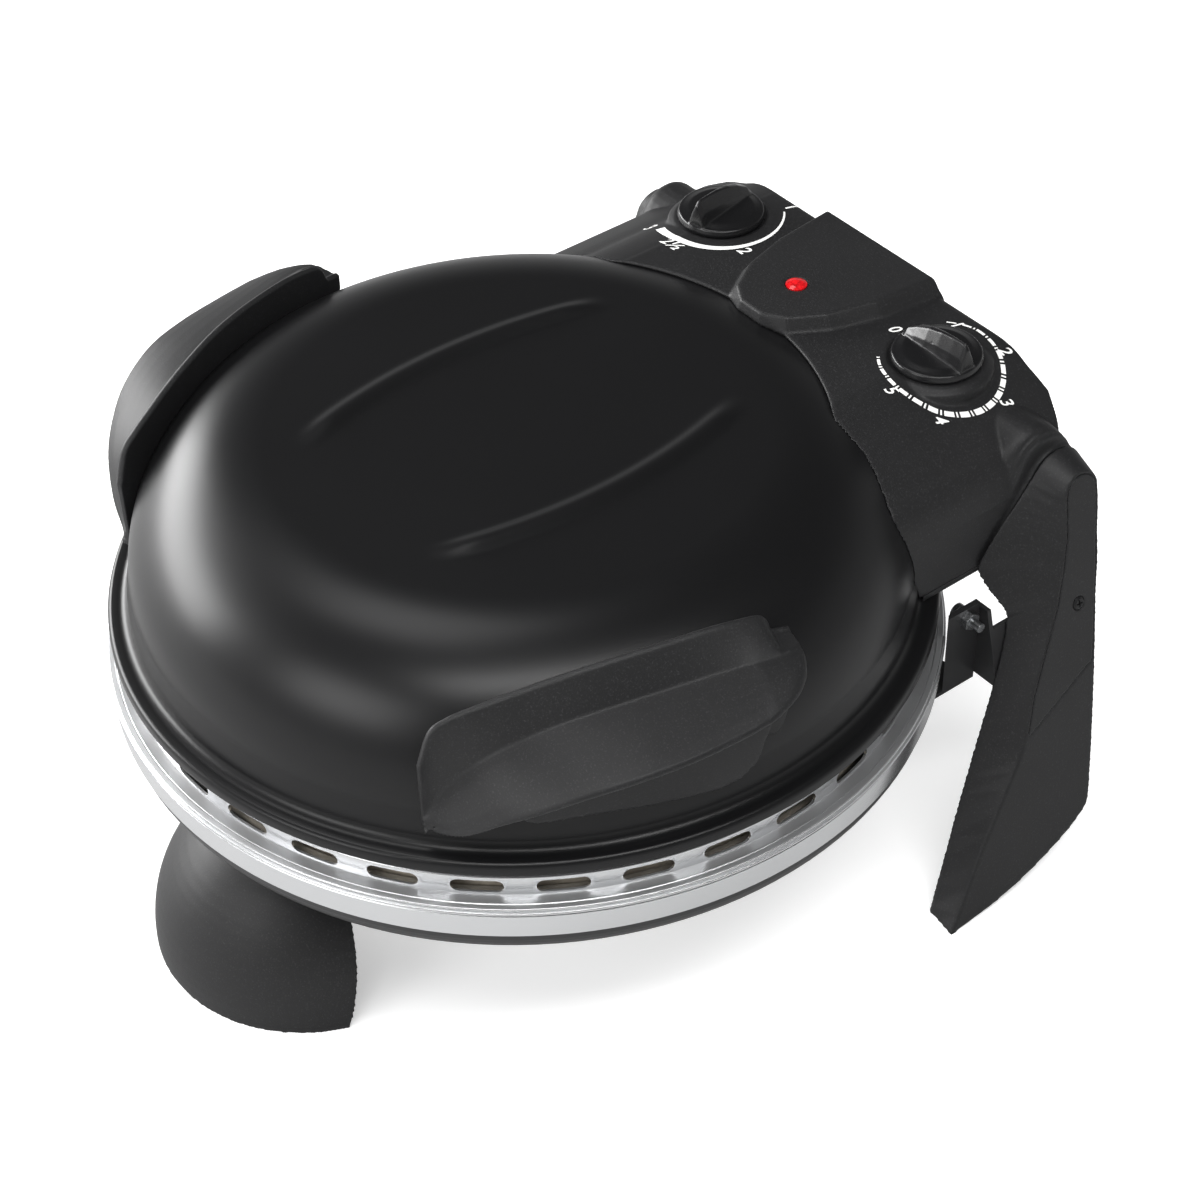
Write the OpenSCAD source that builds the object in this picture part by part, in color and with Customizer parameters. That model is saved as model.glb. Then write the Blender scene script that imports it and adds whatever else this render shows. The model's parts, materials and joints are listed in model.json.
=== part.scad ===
// Countertop pizza maker: a round baking base with a stone, and a domed lid
// that tips back between two rear legs.
// Axes: +X to the user's right, +Y to the back, +Z up. The origin is on the
// worktop, under the middle of the baking chamber.

/* [Base ring and pan] */
// Radius of the polished band at its lower edge
ring_r = 170; // [168:0.5:172]
// Height of the band's lower edge above the worktop
ring_z = 93; // [91:0.5:95]
// Height of the band up to its first groove
band_h = 11; // [9:0.5:12]
// Radius of the upright wall that the vent slots go through
vent_wall_r = 162.2; // [161:0.1:163]
// Height of the vent wall's top above the worktop
vent_top_z = 116.2; // [115.5:0.1:116.4]
// Number of vent slots round the ring
slot_count = 32; // [24:1:36]
// Length of one vent slot
slot_l = 20; // [12:0.5:22]
// Height of one vent slot
slot_h = 6; // [4:0.5:6.5]
// Turn of the first slot from the front, in degrees
slot_turn = 1.76; // [0:0.01:11]
// Height of the pan's flat underside above the worktop
pan_z = 80; // [79:0.5:81]
// Sheet thickness of the pan
pan_t = 1.2; // [0.8:0.1:1.5]

/* [Baking stone] */
// Diameter of the round stone
stone_d = 310; // [300:1:312]
// Thickness of the stone
stone_t = 12; // [8:0.5:12]
// Height of the ledge that the stone lies on
stone_z = 100.4; // [99:0.1:101]

/* [Heating elements] */
// Outer diameter of the sheathed heater tube
heater_d = 6.5; // [5:0.5:8]
// Radius of the lower heater's ring
low_heater_r = 112; // [100:1:118]
// Height of the lower heater's centre line
low_heater_z = 92; // [91:0.5:94]
// Radius of the upper heater's ring
top_heater_r = 106; // [96:1:112]
// Height of the upper heater's centre line
top_heater_z = 168; // [164:0.5:170]

/* [Front foot] */
// Radius of the foot's edge on the worktop
foot_r = 66; // [60:1:68]
// Distance of the foot's axis in front of the middle
foot_y = 113.9; // [108:0.5:116]
// Wall thickness of the foot
foot_t = 3; // [2:0.5:4]

/* [Rear legs] */
// Outward lean of the legs, in degrees
leg_lean = 14.2; // [14:0.1:14.6]
// Distance of a leg's outer edge from the middle, at the worktop
leg_x = 175.9; // [174:0.5:178]
// Thickness of a leg
leg_t = 15.2; // [14:0.5:16]
// Depth of the cover that is let into the leg's outer face
cover_t = 2; // [1.5:0.1:2.5]

/* [Lid] */
// Height of the dome's flat top above the worktop
dome_top_z = 199; // [197:0.5:200]
// Largest radius of the dome's wall
dome_r = 157; // [156:0.5:158]
// Radius of the round shoulder between wall and top
shoulder_r = 57.5; // [50:0.5:60]
// Radius of the lid's lower edge
flange_r = 167.5; // [166:0.5:168.5]
// Height of the lid's lower edge
flange_z = 122.6; // [122:0.1:124]
// Sheet thickness of the dome
dome_t = 1; // [0.8:0.1:1.2]
// Height of the two pressed ridges above the top
ridge_h = 1.6; // [1:0.1:2]

/* [Control housing] */
// Height of the housing's top
housing_top_z = 195.5; // [194:0.5:196]
// Distance of the housing's back edge behind the middle
housing_back_y = 190.5; // [189:0.5:192]
// Distance of the housing's round ends from the middle
housing_end_x = 120.6; // [120:0.1:121]
// Wall thickness of the mouldings
wall_t = 2.5; // [2:0.1:3]
// Height of the raised centre panel's top
centre_top_z = 201.5; // [200:0.5:203]

/* [Lid pivot] */
// Distance of the pivot axis behind the middle
pivot_y = 175; // [174:0.5:176]
// Height of the pivot axis
pivot_z = 159; // [158:0.5:160]
// Diameter of a pivot pin
pin_d = 8; // [6:0.5:8]
// Radial running clearance of pins and shafts
run_gap = 0.1; // [0.05:0.01:0.1]

/* [Control knobs] */
// Distance of each knob's axis from the middle plane
knob_x = 67; // [66:0.5:68]
// Distance of the knobs' axes behind the middle
knob_y = 159; // [158:0.5:160]
// Radius of a knob's skirt
knob_r = 18.8; // [18:0.1:19.5]
// Diameter of a knob's shaft
shaft_d = 6; // [5:0.5:6]
// Distance of the indicator lamp behind the middle
lamp_y = 143; // [142:0.5:145]
// Diameter of the indicator lens
lens_d = 9; // [8:0.5:10]

/* [Hidden] */

round_fn = 180;
small_fn = 48;
eps = 0.02;
lip_gap = 0.4;

plastic = "#1d1d1e";
enamel = "#151516";
steel = "#c9cbcc";
dark_sheet = "#2a2a2b";

// ---- outline helpers --------------------------------------------------

// Points on an arc round c from angle a to angle b
function arc(c, r, a, b, n) = [for (i = [0:n]) let (t = a + (b - a) * i / n) c + r * [cos(t), sin(t)]];
function unit(v) = v / norm(v);
function turned(v) = [-v[1], v[0]];
// The point beside path point i, t to the left
function beside(path, i, t) =
    let (a = i == 0 ? unit(path[1] - path[0]) : unit(path[i] - path[i - 1]),
         b = i == len(path) - 1 ? a : unit(path[i + 1] - path[i]),
         m = unit(turned(a) + turned(b)))
    path[i] + m * t / (m * turned(a));
// A closed strip of thickness t on the left of an open path
function strip(path, t) = concat(path, [for (i = [len(path) - 1:-1:0]) beside(path, i, t)]);
function mix(a, b, t) = a * (1 - t) + b * t;
// Catmull-Rom blend of four values
function blend(a, b, c, d, t) =
    b + 0.5 * t * (c - a + t * (2 * a - 5 * b + 4 * c - d + t * (3 * (b - c) + d - a)));
function row_at(rows, i) = rows[max(0, min(len(rows) - 1, i))];
// The path with n steps between each two of its points, on a smooth curve
function smooth_path(path, n) =
    concat([for (i = [0:len(path) - 2]) for (j = [0:n - 1])
                blend(row_at(path, i - 1), path[i], path[i + 1], row_at(path, i + 2), j / n)],
           [path[len(path) - 1]]);

// Rows of values, with n steps between each two on a smooth curve
function blend_rows(rows, i, t) =
    [for (k = [0:len(rows[0]) - 1])
        blend(row_at(rows, i - 1)[k], row_at(rows, i)[k], row_at(rows, i + 1)[k], row_at(rows, i + 2)[k], t)];
function all_rows(rows, n) =
    concat([for (i = [0:len(rows) - 2]) for (j = [0:n - 1]) blend_rows(rows, i, j / n)],
           [rows[len(rows) - 1]]);

// A closed skin through equal rings of points, which run clockwise as seen along the way to the last ring
module skin(rings) {
    n = len(rings[0]);
    m = len(rings);
    points = [for (r = rings) for (p = r) p];
    sides = [for (i = [0:m - 2]) for (j = [0:n - 1])
        let (a = i * n + j, b = i * n + (j + 1) % n)
        each [[a, b + n, b], [a, a + n, b + n]]];
    caps = [[for (j = [0:n - 1]) j], [for (j = [n - 1:-1:0]) (m - 1) * n + j]];
    polyhedron(points = points, faces = concat(sides, caps), convexity = 6);
}

module turned_sheet(path, t) {
    rotate_extrude($fn = round_fn) polygon(strip(path, t));
}

module both_sides() {
    children();
    mirror([1, 0, 0]) children();
}

// A flat slot with round ends, along X
module slot(l, h) {
    square([l - h, h], center = true);
    for (s = [-1, 1]) translate([s * (l - h) / 2, 0]) circle(d = h, $fn = small_fn);
}

// A pan-head screw whose head stands on z = 0 and whose shank goes down
module screw(d, l) {
    head_h = d * 0.55;
    difference() {
        union() {
            cylinder(d = d * 1.9, h = head_h * 0.6, $fn = small_fn);
            translate([0, 0, head_h * 0.6])
                cylinder(d1 = d * 1.9, d2 = d * 1.3, h = head_h * 0.4, $fn = small_fn);
            translate([0, 0, -l]) cylinder(d = d, h = l, $fn = small_fn);
        }
        for (a = [0, 90]) rotate(a) translate([0, 0, head_h])
            cube([d * 1.05, d * 0.22, head_h * 0.9], center = true);
    }
}

// ---- base ---------------------------------------------------------------

pan_corner_r = 12;
pan_wall_r = ring_r - 0.9;
pan_floor_r = pan_wall_r - pan_corner_r;
ledge_z = ring_z + band_h + 3.4;
pan_path = concat(
    [[0, pan_z], [pan_floor_r, pan_z]],
    arc([pan_floor_r, pan_z + pan_corner_r], pan_corner_r, -80, 0, 8),
    [[pan_wall_r, ring_z + band_h]]);

// Places under the pan
foot_screw_x = 14;
foot_screw_y = foot_y + 2;
bracket_screw_at = [[106, 96], [97, 108]];
heater_leg_x = 12;
heater_leg_y = low_heater_r + 14;
terminal_screw_x = 34;
m4_hole = 4.4;

module pan_holes(h) {
    for (s = [-1, 1]) {
        translate([s * foot_screw_x, -foot_screw_y, h]) children(0);
        translate([s * heater_leg_x, heater_leg_y, h]) children(1);
        translate([s * terminal_screw_x, heater_leg_y, h]) children(0);
        for (p = bracket_screw_at) translate([s * p[0], p[1], h]) children(0);
    }
}

module base_pan() {
    color(dark_sheet) difference() {
        turned_sheet(pan_path, pan_t);
        pan_holes(pan_z - 1) {
            cylinder(d = m4_hole, h = pan_t + 2, $fn = small_fn);
            cylinder(d = heater_d + 1.5, h = pan_t + 2, $fn = small_fn);
        }
    }
}

module vent_ring() {
    groove_z = ring_z + band_h;
    outer = [
        [ring_r, ring_z], [ring_r + 0.5, groove_z], [ring_r, groove_z + 0.4],
        [ring_r + 0.9, groove_z + 1], [ring_r + 0.9, groove_z + 1.6], [ring_r - 0.2, groove_z + 2.1],
        [ring_r + 0.2, groove_z + 2.5], [ring_r + 0.1, groove_z + 2.9], [ring_r - 1, ledge_z],
        [vent_wall_r, ledge_z], [vent_wall_r, vent_top_z - 0.8], [vent_wall_r - 0.8, vent_top_z],
        [vent_wall_r - 2.6, vent_top_z]];
    inner = [
        [vent_wall_r - 2.6, vent_top_z - 0.8], [vent_wall_r - 1, vent_top_z - 0.8],
        [vent_wall_r - 1, ledge_z - 0.9], [ring_r - 1.6, ledge_z - 0.9], [pan_wall_r, groove_z + 1.6],
        [pan_wall_r, ring_z]];
    color(steel) difference() {
        rotate_extrude($fn = round_fn) polygon(concat(outer, inner));
        for (i = [0:slot_count - 1])
            rotate(slot_turn + i * 360 / slot_count)
                translate([0, -vent_wall_r + 3, ledge_z + 0.9 + slot_h / 2])
                    rotate([90, 0, 0]) linear_extrude(6) slot(slot_l, slot_h);
    }
}

reflector_floor_z = pan_z + 4;
module lower_reflector() {
    ledge_r = stone_d / 2;
    path = [
        [0, reflector_floor_z], [ledge_r - 26, reflector_floor_z], [ledge_r - 9, stone_z - 6],
        [ledge_r - 7, stone_z - 0.6], [ledge_r + 1.6, stone_z - 0.6], [ledge_r + 2.4, stone_z + 5],
        [vent_wall_r - 1.6, ledge_z - 1.7], [ring_r - 2.4, ledge_z - 1.7]];
    color(steel) difference() {
        turned_sheet(path, 0.6);
        for (s = [-1, 1]) {
            translate([s * heater_leg_x, heater_leg_y, pan_z])
                cylinder(d = heater_d + 1.5, h = 10, $fn = small_fn);
            translate([s * foot_screw_x, -foot_screw_y, pan_z]) cylinder(d = 12, h = 10, $fn = small_fn);
            translate([s * terminal_screw_x, heater_leg_y, pan_z])
                cylinder(d = 12, h = 10, $fn = small_fn);
            for (p = bracket_screw_at) translate([s * p[0], p[1], pan_z])
                cylinder(d = 12, h = 10, $fn = small_fn);
        }
    }
}

// A heater ring open at the back, whose two ends turn back and then go down or up
module heater(r, z, leg_dir, leg_h) {
    open_a = asin(heater_leg_x / r);
    back_y = r + 14;
    start_y = r * cos(open_a);
    translate([0, 0, z]) rotate(90 + open_a)
        rotate_extrude(angle = 360 - 2 * open_a, $fn = round_fn)
            translate([r, 0]) circle(d = heater_d, $fn = small_fn);
    for (s = [-1, 1]) translate([s * heater_leg_x, 0, z]) {
        translate([0, start_y, 0]) sphere(d = heater_d + 0.5, $fn = small_fn);
        translate([0, start_y, 0]) rotate([-90, 0, 0])
            cylinder(d = heater_d, h = back_y - start_y, $fn = small_fn);
        translate([0, back_y, 0]) sphere(d = heater_d + 0.5, $fn = small_fn);
        translate([0, back_y, leg_dir > 0 ? 0 : -leg_h]) cylinder(d = heater_d, h = leg_h, $fn = small_fn);
    }
}

terminal_z = pan_z - 14;
module lower_heater() {
    color("#6d6a66") heater(low_heater_r, low_heater_z, -1, low_heater_z - terminal_z - 5);
}

// A saddle that holds the heater tube a height h above a plate
module saddle(h) {
    w = 10;
    t = 1;
    inner = heater_d / 2 + 0.15;
    for (s = [0, 180]) rotate(s) {
        translate([inner, -w / 2, 0]) cube([t, w, h + heater_d / 2]);
        translate([inner, -w / 2, 0]) cube([10, w, t]);
    }
    translate([-inner - t, -w / 2, h - heater_d / 2 - t]) cube([2 * inner + 2 * t, w, t]);
}

clip_turns = [-150, -30, 90 + 180];
module lower_heater_clips() {
    base_z = reflector_floor_z + 0.6;
    color(steel) for (a = clip_turns) rotate(a) translate([low_heater_r, 0, base_z])
        saddle(low_heater_z - base_z);
}

module baking_stone() {
    r = stone_d / 2;
    e = 2.5;
    color("#b9ab97") rotate_extrude($fn = round_fn) polygon(concat(
        [[0, stone_z], [r - e, stone_z]],
        arc([r - e, stone_z + e], e, -75, 0, 5),
        arc([r - e, stone_z + stone_t - e], e, 0, 90, 6),
        [[0, stone_z + stone_t]]));
}

module terminal_cover() {
    w = 84;
    d = 40;
    color(plastic) difference() {
        translate([-w / 2, heater_leg_y - d / 2, terminal_z]) cube([w, d, pan_z - terminal_z]);
        translate([-w / 2 + 2 + 12, heater_leg_y - d / 2 + 2, terminal_z + 2])
            cube([w - 4 - 24, d - 4, pan_z - terminal_z]);
        for (s = [-1, 1]) translate([s * terminal_screw_x, heater_leg_y, terminal_z - 1]) {
            cylinder(d = m4_hole, h = 20, $fn = small_fn);
            cylinder(d = 9, h = 8, $fn = small_fn);
        }
    }
}

// The foot is a hollow round dome cut off by a slanting plane behind
foot_dome_c = 3.5;
foot_dome_z = 2;
function foot_dome_r(z, r) =
    r - (r + foot_dome_c) + sqrt(pow(r + foot_dome_c, 2) - pow(max(z - foot_dome_z, 0), 2));
foot_collar_r = 25;
foot_collar_z = 62;
module foot_form(r, collar_r, top_z) {
    steps = 14;
    heights = [for (i = [0:steps]) foot_collar_z * i / steps];
    rotate_extrude($fn = round_fn) polygon(concat(
        [[0, 0]], [for (z = heights) [foot_dome_r(z, r), z]],
        [[collar_r, foot_collar_z + 1], [collar_r, top_z], [0, top_z]]));
}

foot_cut_y = 24.4;
foot_cut_lean = 15.8;
module front_foot() {
    color(plastic) difference() {
        translate([0, -foot_y, 0]) difference() {
            foot_form(foot_r, foot_collar_r, pan_z);
            translate([0, 0, -eps]) foot_form(foot_r - foot_t, foot_collar_r - foot_t, pan_z - 4);
        }
        difference() {
            translate([-100, -foot_y - foot_cut_y, 0]) rotate([-foot_cut_lean, 0, 0])
                translate([0, 0, -30]) cube([200, 150, 150]);
            translate([0, -foot_y, foot_collar_z - 4]) cylinder(r = foot_collar_r, h = 60, $fn = round_fn);
        }
        for (s = [-1, 1]) translate([s * foot_screw_x, -foot_screw_y, pan_z - 10])
            cylinder(d = m4_hole, h = 20, $fn = small_fn);
    }
}

module foot_screws() {
    color(steel) for (s = [-1, 1]) {
        translate([s * foot_screw_x, -foot_screw_y, pan_z + pan_t]) screw(4, 10);
        translate([s * terminal_screw_x, heater_leg_y, pan_z + pan_t]) screw(4, 5);
    }
}

// ---- rear legs -----------------------------------------------------------

// A leaning frame whose X = 0 plane is the right leg's outer face
module leg_frame() {
    translate([leg_x, 0, 0]) rotate([0, -leg_lean, 0]) children();
}

hub_face_x = housing_end_x + lip_gap;
cover_screw_at = [168.6, 116.5];
hub_r = 14;
pin_seat_l = 11;
leg_top_centre = [176.3, 164];

leg_cover_outline = concat(
    [[134.2, 69.4], [140, 86], [157.4, 119.4], [163.1, 135.5], [166.6, 148]],
    arc(leg_top_centre, 7.8, 172, 8, 8),
    [[182.8, 153], [179.8, 130], [173, 88]]);

// A leg point from [distance behind the middle, height along the leg] and depth below the outer face
function leg_point(p, depth) = [
    leg_x - depth * cos(leg_lean) - p[1] * sin(leg_lean), p[0], p[1] * cos(leg_lean) - depth * sin(leg_lean)];
function leg_ring(inner_front, outer_front, back) = [
    leg_point(inner_front, leg_t), leg_point(outer_front, 0), leg_point(back, 0), leg_point(back, leg_t)];
function hub_point(p) = [hub_face_x, p[0], p[1]];
function on_circle(c, r, a) = c + r * [cos(a), sin(a)];

// The leg is a skin through rings of four points: inner front, outer front, outer back, inner back
leg_top_r = 9;
top_rings = 7;
leg_rings = concat([
    leg_ring([80.5, 0], [80.5, 0], [84, 0]),
    leg_ring([94, 24.8], [100, 27.3], [112, 3]),
    leg_ring([106.7, 48.7], [120, 51.8], [137, 9.4]),
    leg_ring([117.5, 67.3], [131.4, 66.5], [158.7, 19]),
    leg_ring([128.4, 86], [138.4, 86], [164.8, 31]),
    leg_ring([138.2, 104.7], [148.8, 105], [174.2, 84]),
    leg_ring([141.5, 115], [154.2, 115], [178.6, 115]),
    [leg_point([139.6, 123], leg_t - 2), leg_point([158.2, 126], 0),
     leg_point([180, 123], 0), leg_point([181, 124], leg_t)],
    [hub_point([135, 131]), leg_point([161.6, 135.5], 0), leg_point([181.8, 133], 0), hub_point([184, 134])],
    [hub_point([143.4, 144.6]), leg_point([163.8, 142], 0), leg_point([183, 145], 0), hub_point([187, 148])],
    [hub_point([152.6, 154.2]), leg_point([165.7, 150], 0), leg_point([184.4, 154], 0), hub_point([188.8, 155])]],
    [for (i = [0:top_rings - 1]) let (t = i / (top_rings - 1)) [
        hub_point(on_circle([pivot_y, pivot_z], hub_r, 150 - 58 * t)),
        leg_point(on_circle(leg_top_centre, leg_top_r, 176 - 84 * t), 0),
        leg_point(on_circle(leg_top_centre, leg_top_r, 4 + 84 * t), 0),
        hub_point(on_circle([pivot_y, pivot_z], hub_r, 2 + 86 * t))]]);

// The smooth curve may not reach past the hub's face towards the housing
module leg_body() {
    skin([for (ring = all_rows(leg_rings, 3)) [for (p = ring) [max(p[0], hub_face_x), p[1], p[2]]]]);
}

module right_leg() {
    color(plastic) difference() {
        leg_body();
        translate([-300, -300, -20]) cube([600, 600, 20]);
        leg_frame() translate([-cover_t, 0, 0]) rotate([90, 0, 90]) linear_extrude(cover_t + 1)
            polygon(leg_cover_outline);
        translate([hub_face_x - 1, pivot_y, pivot_z]) rotate([0, 90, 0])
            cylinder(d = pin_d, h = pin_seat_l + 1, $fn = small_fn);
        leg_frame() translate([-14, cover_screw_at[0], cover_screw_at[1]]) rotate([0, 90, 0])
            cylinder(d = 3, h = 14, $fn = small_fn);
        angle_screw_bores();
    }
}

module left_leg() {
    mirror([1, 0, 0]) right_leg();
}

module right_leg_cover() {
    color(plastic) leg_frame() difference() {
        translate([-cover_t, 0, 0]) rotate([90, 0, 90]) linear_extrude(cover_t)
            polygon(leg_cover_outline);
        translate([-cover_t - 1, cover_screw_at[0], cover_screw_at[1]]) rotate([0, 90, 0])
            cylinder(d = 3.4, h = 9, $fn = small_fn);
        translate([-cover_t + 0.8, cover_screw_at[0], cover_screw_at[1]]) rotate([0, 90, 0])
            cylinder(d = 6.2, h = 9, $fn = small_fn);
    }
}

module left_leg_cover() {
    mirror([1, 0, 0]) right_leg_cover();
}

module leg_cover_screws() {
    color(dark_sheet) both_sides() leg_frame()
        translate([-cover_t + 0.8, cover_screw_at[0], cover_screw_at[1]]) rotate([0, 90, 0]) screw(3, 9);
}

// ---- brackets between pan and legs ---------------------------------------

bracket_x = 126;
bracket_y = 133.5;
bracket_top_z = 118.6;
bracket_t = 2;
ring_clear_r = ring_r + 1.3;
bolt_at = [127, 113.5];
angle_screw_z = [90, 104];
// Depth of the angle's flange below the leg's outer face, a hair clear of the moulded face
flange_depth = leg_t + 0.2;

module right_pan_bracket() {
    color(dark_sheet) difference() {
        union() {
            translate([bracket_x - bracket_t, 100, pan_z - bracket_t])
                cube([bracket_t, bracket_y - 100, bracket_top_z - pan_z + bracket_t]);
            translate([0, 0, pan_z - bracket_t]) linear_extrude(bracket_t)
                polygon([[bracket_x, 112], [112, 86], [100, 86], [86, 104], [86, 120], [bracket_x, bracket_y]]);
        }
        translate([0, 0, pan_z]) cylinder(r = ring_clear_r, h = 60, $fn = round_fn);
        translate([0, 0, pan_z - 5]) difference() {
            cylinder(r = 400, h = 20, $fn = small_fn);
            translate([0, 0, -1]) cylinder(r = 185, h = 30, $fn = round_fn);
        }
        for (p = bracket_screw_at) translate([p[0], p[1], pan_z - 5])
            cylinder(d = m4_hole, h = 10, $fn = small_fn);
        translate([bracket_x - 6, bolt_at[0], bolt_at[1]]) rotate([0, 90, 0])
            cylinder(d = m4_hole, h = 12, $fn = small_fn);
    }
}

module left_pan_bracket() {
    mirror([1, 0, 0]) right_pan_bracket();
}

// A folded angle: a tab behind the bracket, a cross plate, and a flange on the leg's inner face
module right_leg_angle() {
    tab_x = bracket_x - 2 * bracket_t;
    color(dark_sheet) difference() {
        union() {
            translate([tab_x, 121, pan_z + 1]) cube([bracket_t, bracket_y - 121, bracket_top_z - pan_z - 3]);
            translate([tab_x, bracket_y, pan_z + 1]) cube([40, bracket_t, bracket_top_z - pan_z - 3]);
            leg_frame() translate([-flange_depth - bracket_t, bracket_y, pan_z + 1])
                cube([bracket_t, 24, 34]);
        }
        leg_frame() translate([-flange_depth, 0, 0]) cube([60, 250, 250]);
        translate([0, 0, pan_z]) cylinder(r = ring_clear_r, h = 60, $fn = round_fn);
        translate([bracket_x - 8, bolt_at[0], bolt_at[1]]) rotate([0, 90, 0])
            cylinder(d = m4_hole, h = 12, $fn = small_fn);
        angle_screw_bores();
    }
}

module left_leg_angle() {
    mirror([1, 0, 0]) right_leg_angle();
}

module at_angle_screws() {
    leg_frame() for (z = angle_screw_z)
        translate([-flange_depth - bracket_t, bracket_y + 15, z]) rotate([0, -90, 0]) children();
}

module angle_screw_bores() {
    at_angle_screws() translate([0, 0, -12]) cylinder(d = 4, h = 14, $fn = small_fn);
}

// Each bolt goes out through the tab and the bracket, into a hexagon nut
module bracket_bolts() {
    tab_x = bracket_x - 2 * bracket_t;
    color(steel) both_sides() translate([tab_x, bolt_at[0], bolt_at[1]]) rotate([0, 90, 0]) {
        translate([0, 0, -2.4]) cylinder(d = 7.2, h = 2.4, $fn = small_fn);
        cylinder(d = 4, h = 12, $fn = small_fn);
        translate([0, 0, 2 * bracket_t]) difference() {
            cylinder(d = 8, h = 3.2, $fn = 6);
            translate([0, 0, -1]) cylinder(d = 3.9, h = 6, $fn = small_fn);
        }
    }
}

module bracket_screws() {
    color(steel) both_sides() {
        for (p = bracket_screw_at) translate([p[0], p[1], pan_z + pan_t]) screw(4, 5);
        at_angle_screws() screw(4, 11);
    }
}

// ---- lid pivot -----------------------------------------------------------

pin_in = 112;
module right_pivot_pin() {
    color(steel) translate([pin_in, pivot_y, pivot_z]) rotate([0, 90, 0])
        cylinder(d = pin_d, h = hub_face_x + pin_seat_l - pin_in, $fn = small_fn);
}

module left_pivot_pin() {
    mirror([1, 0, 0]) right_pivot_pin();
}

bush_d = 13;
bush_flange_d = 18;
end_wall_t = 6;
module right_pivot_bush() {
    inner_x = housing_end_x - end_wall_t;
    color("#3a3a3c") translate([inner_x, pivot_y, pivot_z]) rotate([0, 90, 0]) difference() {
        union() {
            cylinder(d = bush_d, h = end_wall_t, $fn = small_fn);
            translate([0, 0, -2]) cylinder(d = bush_flange_d, h = 2, $fn = small_fn);
        }
        translate([0, 0, -5]) cylinder(d = pin_d + 2 * run_gap, h = 20, $fn = small_fn);
    }
}

module left_pivot_bush() {
    mirror([1, 0, 0]) right_pivot_bush();
}

// ---- lid -----------------------------------------------------------------

shoulder_c = [dome_r - shoulder_r, dome_top_z - shoulder_r];
dome_path = concat(
    [[flange_r, flange_z], [flange_r - 0.3, flange_z + 2.6], [flange_r - 2, flange_z + 4.6],
     [flange_r - 4.6, flange_z + 5.6], [flange_r - 6.6, flange_z + 5.7], [dome_r + 2.8, flange_z + 5.3],
     [dome_r + 1.6, shoulder_c[1] - 6]],
    arc(shoulder_c, shoulder_r, 0, 90, 24),
    [[0, dome_top_z]]);

module dome_solid(grow) {
    rotate_extrude($fn = round_fn) polygon(concat(
        [[0, flange_z - 10], [dome_r + 3 + grow, flange_z - 10], [dome_r + 3 + grow, shoulder_c[1] - 13]],
        arc(shoulder_c, shoulder_r + grow, 0, 90, 24),
        [[0, dome_top_z + grow]]));
}

ridge_mid_x = 55;
ridge_sag = 13.2;
ridge_half_l = 77.5;
ridge_arc_r = (pow(ridge_half_l, 2) + pow(ridge_sag, 2)) / (2 * ridge_sag);
ridge_turn = asin(ridge_half_l / ridge_arc_r);
ridge_w = 11;

dome_hole_at = [-16, 16];
handle_turn = 18.3;
handle_screw_u = [-32, 26];
carrier_turn = 17;
carrier_z = 150;

module lid_dome() {
    color(enamel) difference() {
        union() {
            turned_sheet(dome_path, dome_t);
            both_sides() translate([ridge_mid_x - ridge_arc_r, 2.5, dome_top_z - 0.3]) rotate(-ridge_turn)
                rotate_extrude(angle = 2 * ridge_turn, $fn = round_fn) polygon([
                    [ridge_arc_r - ridge_w / 2, 0], [ridge_arc_r + ridge_w / 2, 0],
                    [ridge_arc_r + ridge_w / 4, ridge_h * 0.8 + 0.3], [ridge_arc_r, ridge_h + 0.3],
                    [ridge_arc_r - ridge_w / 4, ridge_h * 0.8 + 0.3]]);
        }
        both_sides() at_handle_screws() translate([0, 0, -12]) cylinder(d = m4_hole, h = 24, $fn = small_fn);
        both_sides() at_carrier_screws() translate([0, 0, -12]) cylinder(d = m4_hole, h = 24, $fn = small_fn);
        for (s = [-1, 1]) translate([s * heater_leg_x, top_heater_r + 14, top_heater_z])
            cylinder(d = heater_d + 1.5, h = 40, $fn = small_fn);
    }
}

liner_top_z = 182;
liner_r = 148;
liner_screw_r = 60;
module lid_liner() {
    corner_r = 25;
    path = concat(
        [[vent_wall_r - 1.2, vent_top_z + lip_gap], [vent_wall_r - 1.2, flange_z + 2.2],
         [liner_r + 5, flange_z + 2.2], [liner_r, flange_z + 12]],
        arc([liner_r - corner_r - 3, liner_top_z - corner_r], corner_r, 0, 90, 10),
        [[0, liner_top_z]]);
    color("#a9abac") difference() {
        turned_sheet(path, 0.6);
        for (s = [-1, 1]) translate([s * heater_leg_x, top_heater_r + 14, top_heater_z])
            cylinder(d = heater_d + 1.5, h = 30, $fn = small_fn);
        for (a = [45:90:315]) rotate(a) translate([liner_screw_r, 0, liner_top_z - 5])
            cylinder(d = 3.4, h = 10, $fn = small_fn);
    }
}

// Spacer screws between the liner's top and the dome
module liner_screws() {
    color(steel) for (a = [45:90:315]) rotate(a) translate([liner_screw_r, 0, liner_top_z - 0.6]) {
        translate([0, 0, -2]) cylinder(d = 6.5, h = 2, $fn = small_fn);
        cylinder(d = 3.2, h = dome_top_z - dome_t - liner_top_z + 0.6, $fn = small_fn);
        translate([0, 0, 0.6]) cylinder(d = 9, h = dome_top_z - dome_t - liner_top_z, $fn = small_fn);
    }
}

module upper_heater() {
    color("#6d6a66") heater(top_heater_r, top_heater_z, 1, 16);
}

module upper_heater_clips() {
    color(steel) for (a = clip_turns) rotate(a) translate([top_heater_r, 0, liner_top_z - 0.6])
        rotate([180, 0, 0]) saddle(liner_top_z - 0.6 - top_heater_z);
}

// ---- lid handles ---------------------------------------------------------
// Own frame of a handle: X is outward, Y to the back along the handle.

module handle_frame() {
    rotate(-handle_turn) children();
}

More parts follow.
